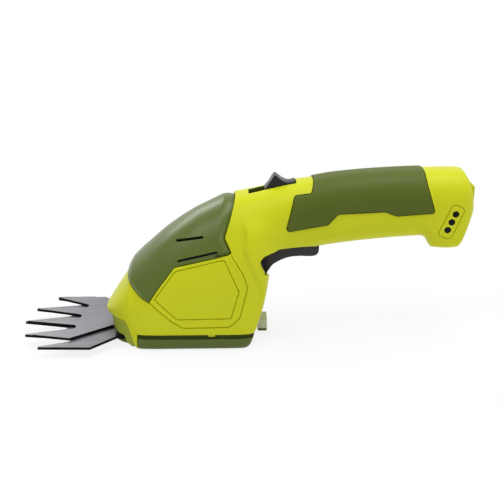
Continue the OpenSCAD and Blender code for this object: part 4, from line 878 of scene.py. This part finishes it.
def strip(name, rows):
    """A closed band whose sections are the given rows of four corners."""
    verts = [c for row in rows for c in row]
    ob = finish_mesh(name, verts, ring_faces(len(rows), len(rows[0])), 35)
    bm = bmesh.new()
    bm.from_mesh(ob.data)
    bmesh.ops.recalc_face_normals(bm, faces=bm.faces)
    bm.to_mesh(ob.data)
    bm.free()
    return ob


def mirrored(name, rows):
    """A band on each side of the middle plane."""
    return [strip(name, [[(x, s * y, z) for x, y, z in row] for row in rows]) for s in (-1, 1)]


# dark sheet lining the cut-out beside the trigger: painted shade of the pocket
NOTCH_T, NOTCH_PROUD, NOTCH_Y = 1.2, 0.08, TRIGGER_HALF + GAP
inner_edge = inset(NOTCH_EDGE, NOTCH_PROUD, closed=False)
outer_edge = inset(NOTCH_EDGE, -NOTCH_T, closed=False)
rows = []
for (x, z), (u, w) in zip(inner_edge[1:-1], outer_edge[1:-1]):
    y0, y1 = side_y(x, z) - 0.1, min(side_y(u, w), side_y(x, z)) - 0.3
    rows.append([(x, y0, z), (x, NOTCH_Y, z), (u, NOTCH_Y, w), (u, max(y1, NOTCH_Y + 0.1), w)])
notch_shade_walls = mirrored("trigger_pocket_shade", rows)

# cheeks beside the mouth: edge on the skin, and edge further in; their darker lime is painted shade
CHEEK_OUT = [(-93.4, 21.2), (-88.3, 21.2), (-83.1, 21.2), (-81.4, 16.8), (-80.2, 13.5), (-79.2, 10.9),
             (-77.9, 5.2)]
CHEEK_IN = [(-93.4, 18.0, 19.4), (-92.1, 18.2, 10.7), (-88.2, 25.8, 10.4), (-84.4, 28.4, 9.6),
            (-83.4, 28.6, 6.5), (-82.5, 28.6, 3.8), (-78.6, 29.2, 1.0)]
CHEEK_T, CHEEK_LEAN = 1.2, 0.5
rows = []
for (x, z), (u, v, w) in zip(CHEEK_OUT, CHEEK_IN):
    y = side_y(x, z) - 0.05
    rows.append([(x, y, z), (u, v, w), (u + CHEEK_T, v - CHEEK_LEAN, w), (x + CHEEK_T, y - CHEEK_LEAN, z)])
cheeks = mirrored("mouth_cheek", rows)

# springs
WIRE = 0.4


def coil(node, along, turns, rings=16, sides=8):
    """A helix of wire in the box of a spring's solid, its axis along the given direction."""
    low, high = (np.array(c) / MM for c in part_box(node))
    axis, mid, size = np.array(along, float), (low + high) / 2, high - low
    axis /= np.linalg.norm(axis)
    side = np.array([0.0, 1.0, 0.0])
    third = np.cross(axis, side)
    r = size[1] / 2 - WIRE
    length = size @ np.abs(axis) - 4 * (r + WIRE) * abs(axis[0] * axis[2])
    count = turns * rings
    verts = []
    for i in range(count + 1):
        a = 2 * math.pi * i / rings
        out = math.cos(a) * side + math.sin(a) * third
        at = mid + axis * (i / count - 0.5) * (length - 2 * WIRE)
        for k in range(sides):
            b = 2 * math.pi * k / sides
            verts.append(tuple(at + out * (r + WIRE * math.cos(b)) + axis * WIRE * math.sin(b)))
    seat = mid - axis * length / 2
    ob = finish_mesh(node.replace("spring", "coil"), verts, ring_faces(count + 1, sides), 60)
    return ob, axis, seat * MM


# blades
def blade_outline(node):
    """The outline of a flat blade, read from the edge of its solid's top face."""
    me = nodes[node].data
    zmax = max(v.co.z for v in me.vertices)
    key = {v.index: (round(v.co.x / MM, 4), round(v.co.y / MM, 4))
           for v in me.vertices if abs(v.co.z - zmax) < 1e-6}
    edges = {}
    for p in me.polygons:
        vs = list(p.vertices)
        if all(i in key for i in vs):
            for a, b in segments(vs):
                u, w = key[a], key[b]
                if edges.pop((w, u), None) is None:
                    edges[(u, w)] = True
    nxt = {u: w for u, w in edges}
    loops = []
    while nxt:
        start, cur = next(iter(nxt.items()))
        loop = [start]
        del nxt[start]
        while cur != start and cur in nxt:
            loop.append(cur)
            cur = nxt.pop(cur)
        loops.append(loop)
    return max(loops, key=lambda l: abs(area(l))), zmax / MM


# where the bright part of the blades ends; behind it, under the nose, the blades are black as painted shade
ROOT_X = -91.0


def blade(name, node, bevel):
    """A blade with its upper edges ground, and which of its faces are bright; the other faces, its sides,
    ground edges and root under the nose, are black as painted shade and dark reflection.
    """
    pts, z1 = blade_outline(node)
    z0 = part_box(node)[0].z / MM
    bm = raised([(x, y, z0) for x, y in pts], 2, z1)
    bmesh.ops.recalc_face_normals(bm, faces=bm.faces)
    edges = [e for e in bm.edges if all(abs(v.co.z - z1) < 1e-6 for v in e.verts)]
    bmesh.ops.bevel(bm, geom=edges, offset=bevel, segments=1, affect="EDGES", clamp_overlap=True)
    bmesh.ops.bisect_plane(bm, geom=bm.verts[:] + bm.edges[:] + bm.faces[:], dist=1e-4,
                           plane_co=Vector((ROOT_X, 0, 0)), plane_no=Vector((1, 0, 0)))
    bright = [abs(f.normal.z) > 0.95 and f.calc_center_median().x < ROOT_X for f in bm.faces]
    return from_bmesh(name, bm, 20), bright


comb, comb_bright = blade("comb_plate", "comb_blade", 0.25)
cutter, cutter_bright = blade("cutter_plate", "cutter_blade", 0.3)


# materials
def srgb(r, g, b):
    """Linear colour of a display colour with channels to 255."""
    return tuple((c / 255 / 12.92 if c <= 10 else ((c / 255 + 0.055) / 1.055) ** 2.4) for c in (r, g, b))


def feed(nt, node, inputs):
    """Set a shader node's inputs; each is a value or the output that feeds it."""
    for key, value in inputs.items():
        if isinstance(value, bpy.types.NodeSocket):
            nt.links.new(value, node.inputs[key])
        else:
            node.inputs[key].default_value = value


def add_node(nt, kind, inputs, **settings):
    node = nt.nodes.new("ShaderNode" + kind)
    for key, value in settings.items():
        setattr(node, key, value)
    feed(nt, node, inputs)
    return node


DRIFT_SCALE, DRIFT_DETAIL, GRAIN_DETAIL, GRAIN_DEEP = 28.0, 3.0, 4.0, 0.0003


def material(name, colour, rough, vary, grain, bump, metal=0.0, stretch=(1, 1, 1), spec=0.3):
    """A surface whose colour and gloss drift slowly and whose grain is fine."""
    mat = bpy.data.materials.new(name)
    mat.use_nodes = True
    nt = mat.node_tree
    where = add_node(nt, "TexCoord", {}).outputs["Object"]
    place = add_node(nt, "Mapping", {"Vector": where, "Scale": stretch}).outputs["Vector"]
    drift = add_node(nt, "TexNoise", {"Vector": where, "Scale": DRIFT_SCALE, "Detail": DRIFT_DETAIL})
    fine = add_node(nt, "TexNoise", {"Vector": place, "Scale": grain, "Detail": GRAIN_DETAIL})
    both = add_node(nt, "Math", {0: drift.outputs["Fac"], 1: fine.outputs["Fac"]}, operation="ADD")
    mean = add_node(nt, "Math", {0: both.outputs[0], 1: 0.5}, operation="MULTIPLY").outputs[0]
    ramp = add_node(nt, "ValToRGB", {"Fac": mean})
    dark, light = ramp.color_ramp.elements
    dark.position, light.position = 0.3, 0.75
    dark.color = [c * (1 - vary) for c in colour] + [1]
    light.color = [min(1, c * (1 + vary)) for c in colour] + [1]
    gloss = add_node(nt, "MapRange", {"Value": mean, "To Min": rough - 0.05, "To Max": rough + 0.07})
    relief = add_node(nt, "Bump", {"Height": fine.outputs["Fac"], "Strength": bump, "Distance": GRAIN_DEEP})
    feed(nt, nt.nodes["Principled BSDF"], {
        "Base Color": ramp.outputs["Color"], "Roughness": gloss.outputs["Result"],
        "Normal": relief.outputs["Normal"], "Metallic": metal, "Specular IOR Level": spec})
    return mat


LIME = srgb(200, 204, 30)
OLIVE = srgb(84, 99, 34)
# colour, roughness, drift of the colour, and scale and strength of the grain
looks = {
    "body_plastic": material("lime_moulding", LIME, 0.4, 0.03, 1400, 0.05, spec=0.13),
    "hood_plastic": material("olive_moulding", OLIVE, 0.32, 0.05, 1400, 0.03, spec=0.3),
    "grip_rubber": material("olive_grip", srgb(82, 95, 31), 0.45, 0.07, 2600, 0.12, spec=0.14),
    "dark_plastic": material("black_moulding", srgb(38, 38, 39), 0.5, 0.1, 1600, 0.1),
    "trigger_plastic": material("trigger_moulding", srgb(48, 46, 45), 0.45, 0.06, 2000, 0.1),
    "slider_plastic": material("slider_moulding", srgb(22, 22, 23), 0.28, 0.08, 1800, 0.05, spec=0.25),
    "blade_steel": material("brushed_blade", (0.2, 0.2, 0.213), 0.4, 0.28, 420, 0.08, metal=0.9,
                            stretch=(0.04, 1.6, 1)),
    "plain_steel": material("zinc_steel", (0.5, 0.5, 0.52), 0.32, 0.06, 700, 0.04, metal=1),
    "spring_steel": material("spring_wire", (0.35, 0.35, 0.36), 0.3, 0.05, 900, 0.03, metal=1),
    "yoke_steel": material("black_oxide", (0.03, 0.03, 0.033), 0.45, 0.1, 900, 0.06, metal=0.6),
    "magnet": material("ferrite", (0.05, 0.05, 0.055), 0.7, 0.12, 1200, 0.15),
    "winding": material("copper_winding", (0.55, 0.2, 0.07), 0.35, 0.15, 300, 0.3, metal=0.8,
                        stretch=(1, 1, 8)),
    "brass": material("plain_brass", (0.6, 0.43, 0.15), 0.3, 0.06, 700, 0.04, metal=1),
    "white_plastic": material("natural_moulding", (0.7, 0.7, 0.66), 0.4, 0.03, 1200, 0.05),
    "cell_wrap": material("cell_wrap", (0.05, 0.12, 0.32), 0.3, 0.06, 400, 0.04),
    "board": material("lacquered_board", (0.02, 0.12, 0.05), 0.35, 0.15, 600, 0.1),
    "lens": material("dark_lens", (0.003, 0.0035, 0.003), 0.2, 0.2, 500, 0.01, spec=0.12),
    "lead": material("lead_insulation", (0.03, 0.03, 0.03), 0.5, 0.1, 900, 0.06),
}
# black for the sides and ground edges of the blades and their root under the nose: painted shade and dark
# reflection
blade_painted_shade = material("blade_black_painted_shade", (0.002, 0.002, 0.0025), 0.6, 0.3, 700, 0.08, spec=0.08)
# darker lime for the cheeks beside the mouth: painted shade of the facets that face down
cheek_painted_shade = material("lime_painted_shade", srgb(152, 163, 52), 0.45, 0.04, 1400, 0.05, spec=0.15)
# darker olive for the recessed band of the cover: painted shade under the seam
band_painted_shade = material("olive_band_painted_shade", srgb(60, 68, 22), 0.45, 0.05, 1400, 0.05, spec=0.12)
tab_face = material("tab_moulding", srgb(205, 210, 182), 0.42, 0.05, 1400, 0.06)

for sub in frame["record"]["subparts"]:
    me = nodes[sub["node"]].data
    me.materials.clear()
    me.materials.append(looks[sub["material_slot"]])


def dress(ob, slot, body, *replaced, look=None):
    """Give a piece its material, from its slot unless a look is given, and its body, and hide the solids it
    stands for.
    """
    ob.data.materials.append(look or looks[slot])
    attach(ob, body)
    if replaced:
        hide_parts(*replaced)


dress(left_skin, "body_plastic", "housing", "left_housing")
dress(right_skin, "body_plastic", "housing", "right_housing")
dress(hood_skin, "hood_plastic", "housing", "motor_hood")
dress(left_grip, "grip_rubber", "housing", "left_grip")
dress(right_grip, "grip_rubber", "housing", "right_grip")
# the sheet behind the vents is black, painted shade
dress(vent_shade_sheet, "dark_plastic", "housing")
dress(pill_skin, "body_plastic", "housing", "indicator_plate")
dress(cover_skin, "hood_plastic", "cover", "base_cover")
dress(tongue, "hood_plastic", "cover")
dress(trigger, "trigger_plastic", "trigger", "trigger")
dress(slider, "slider_plastic", "slider", "lockout_slider")
dress(slider_foot, "slider_plastic", "slider")
dress(button, "body_plastic", "button", "check_button")
dress(tab, "hood_plastic", "tab", "release_tab", look=tab_face)
dress(tab_lip, "hood_plastic", "tab")
# olive groove round the grips, painted shade of the groove, and olive walls of the slider's slot
for ob, faces in ((left_skin, groups["left"]), (right_skin, groups["right"])):
    ob.data.materials.append(looks["hood_plastic"])
    mids = np.array([f.calc_center_median() for f in faces])
    # faces in the groove round a grip get olive, painted shade
    for i in np.flatnonzero(distance(mids, GRIP) < GRIP_SEAM):
        if not inside(GRIP, mids[i][0], mids[i][2]):
            ob.data.polygons[int(i)].material_index = 1
    for q in ob.data.polygons[first_wall[ob.name]:]:
        c = q.center / MM
        if abs(c.y) < SLOT_HALF + 0.2 and abs(slot_u(c.x, c.z)) < SLOT_L / 2 + 1 and c.z > SLOT_Z - 8:
            q.material_index = 1
# the recessed band under the seam gets the darker olive, painted shade
cover_skin.data.materials.append(band_painted_shade)
for q in cover_skin.data.polygons:
    if q.center.z / MM > BAND_Z - 0.3:
        q.material_index = 1
SLIDE_DIR = (math.cos(SLOT_TILT), 0, math.sin(SLOT_TILT))
# each spring: its solid, its body, its joint, its axis, its turns, and the share of its length left at its
# joint's upper limit
for node, body, joint, along, turns, keep in (
        ("trigger_spring", "housing", "trigger_pull", (0, 0, -1), 6, 0.64),
        ("lockout_spring", "housing", "lockout_slide", SLIDE_DIR, 7, 0.27),
        ("button_spring", "housing", "check_press", (1, 0, 0), 4, 0.73),
        ("tab_spring", "cover", "tab_press", (1, 0, 0), 5, 0.67)):
    ob, axis, seat = coil(node, along, turns)
    dress(ob, "spring_steel", body, node)
    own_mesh(ob)
# the sheets in the cut-out beside the trigger are black, painted shade
for ob in notch_shade_walls:
    dress(ob, "dark_plastic", "housing")
# the cheeks get the darker lime, painted shade
for ob in cheeks:
    dress(ob, "body_plastic", "housing", look=cheek_painted_shade)
for ob in lugs + wells:
    dress(ob, "body_plastic", "housing")
for ob, bright, node, body in (
        (comb, comb_bright, "comb_blade", "housing"), (cutter, cutter_bright, "cutter_blade", "cutter")):
    dress(ob, "blade_steel", body, node)
    ob.data.materials.append(blade_painted_shade)
    # faces that are not bright get the black, painted shade and dark reflection
    for q, shown in zip(ob.data.polygons, bright):
        q.material_index = 0 if shown else 1

# floor, light and camera
scene = bpy.context.scene
FLOOR, FLOOR_Z = 3.0, -0.0002
me = bpy.data.meshes.new("floor")
me.from_pydata([(x, y, 0) for x, y in corners(-FLOOR, FLOOR, -FLOOR, FLOOR)], [], [(0, 1, 2, 3)])
floor = bpy.data.objects.new("floor", me)
scene.collection.objects.link(floor)
floor.location.z = FLOOR_Z


def seen_rays(nt):
    """1 for rays that show the background itself: camera, glossy and transmission."""
    path = add_node(nt, "LightPath", {})
    seen = path.outputs["Is Camera Ray"]
    for other in ("Is Glossy Ray", "Is Transmission Ray"):
        seen = add_node(nt, "Math", {0: seen, 1: path.outputs[other]}, operation="MAXIMUM").outputs[0]
    return seen


SHADOW_NEAR, SHADOW_FAR, SHADOW_SHARE = 0.16, 0.42, 0.85
AMBIENT = 0.29


def floor_material():
    """White to the rays that show the background, with some of the shadow left near the part."""
    mat = bpy.data.materials.new("floor_white")
    mat.use_nodes = True
    nt = mat.node_tree
    nt.nodes.clear()
    where = add_node(nt, "TexCoord", {})
    reach = add_node(nt, "VectorMath", {0: where.outputs["Object"]}, operation="LENGTH")
    fade = add_node(nt, "MapRange", {
        "Value": reach.outputs["Value"], "From Min": SHADOW_NEAR, "From Max": SHADOW_FAR,
        "To Min": SHADOW_SHARE, "To Max": 1.0}, interpolation_type="SMOOTHSTEP")
    share = add_node(nt, "Math", {0: seen_rays(nt), 1: fade.outputs["Result"]}, operation="MULTIPLY")
    paper = add_node(nt, "BsdfDiffuse", {"Color": (0.9, 0.9, 0.9, 1)})
    glow = add_node(nt, "Emission", {"Strength": 1.0})
    mix = add_node(nt, "MixShader", {"Fac": share.outputs[0], 1: paper.outputs[0], 2: glow.outputs[0]})
    add_node(nt, "OutputMaterial", {"Surface": mix.outputs[0]})
    return mat


def studio():
    """A world that is white to see and dim as a light."""
    world = bpy.data.worlds.new("studio")
    world.use_nodes = True
    nt = world.node_tree
    level = add_node(nt, "MapRange", {"Value": seen_rays(nt), "To Min": AMBIENT, "To Max": 1.0})
    feed(nt, nt.nodes["Background"], {"Color": (1, 1, 1, 1), "Strength": level.outputs["Result"]})
    return world


floor.data.materials.append(floor_material())
scene.world = studio()


def lamp(name, place, aim, size, power):
    light = bpy.data.lights.new(name, "AREA")
    light.shape = "RECTANGLE"
    light.size, light.size_y = size
    light.energy = power
    ob = bpy.data.objects.new(name, light)
    ob.location = place
    ob.rotation_euler = (Vector(aim) - Vector(place)).to_track_quat("-Z", "Y").to_euler()
    scene.collection.objects.link(ob)


AIM = (0.0, 0.0, 0.06)
lamp("key", (-0.5, -0.42, 0.98), AIM, (0.6, 0.5), 3.4)
lamp("overhead", (0.2, -0.05, 1.05), AIM, (0.9, 0.5), 7.0)
lamp("fill", (1.0, -0.5, 0.4), AIM, (0.6, 0.6), 2.4)
lamp("back", (-0.55, 0.68, 0.62), AIM, (0.5, 0.3), 3.0)

VIEW_DISTANCE, VIEW_RISE, VIEW_TURN = 0.664, math.radians(20.5), math.radians(-1.0)
TARGET = Vector((0.00415, 0.0, 0.062))
camera = bpy.data.cameras.new("camera")
camera.sensor_width = 36.0
camera.lens = 67.25
cam = bpy.data.objects.new("camera", camera)
cam.location = TARGET + VIEW_DISTANCE * Vector((
    math.sin(VIEW_TURN) * math.cos(VIEW_RISE), -math.cos(VIEW_TURN) * math.cos(VIEW_RISE),
    math.sin(VIEW_RISE)))
cam.rotation_euler = (TARGET - cam.location).to_track_quat("-Z", "Y").to_euler()
camera.clip_start = 0.01
scene.collection.objects.link(cam)
scene.camera = cam
scene.view_settings.view_transform = "Standard"
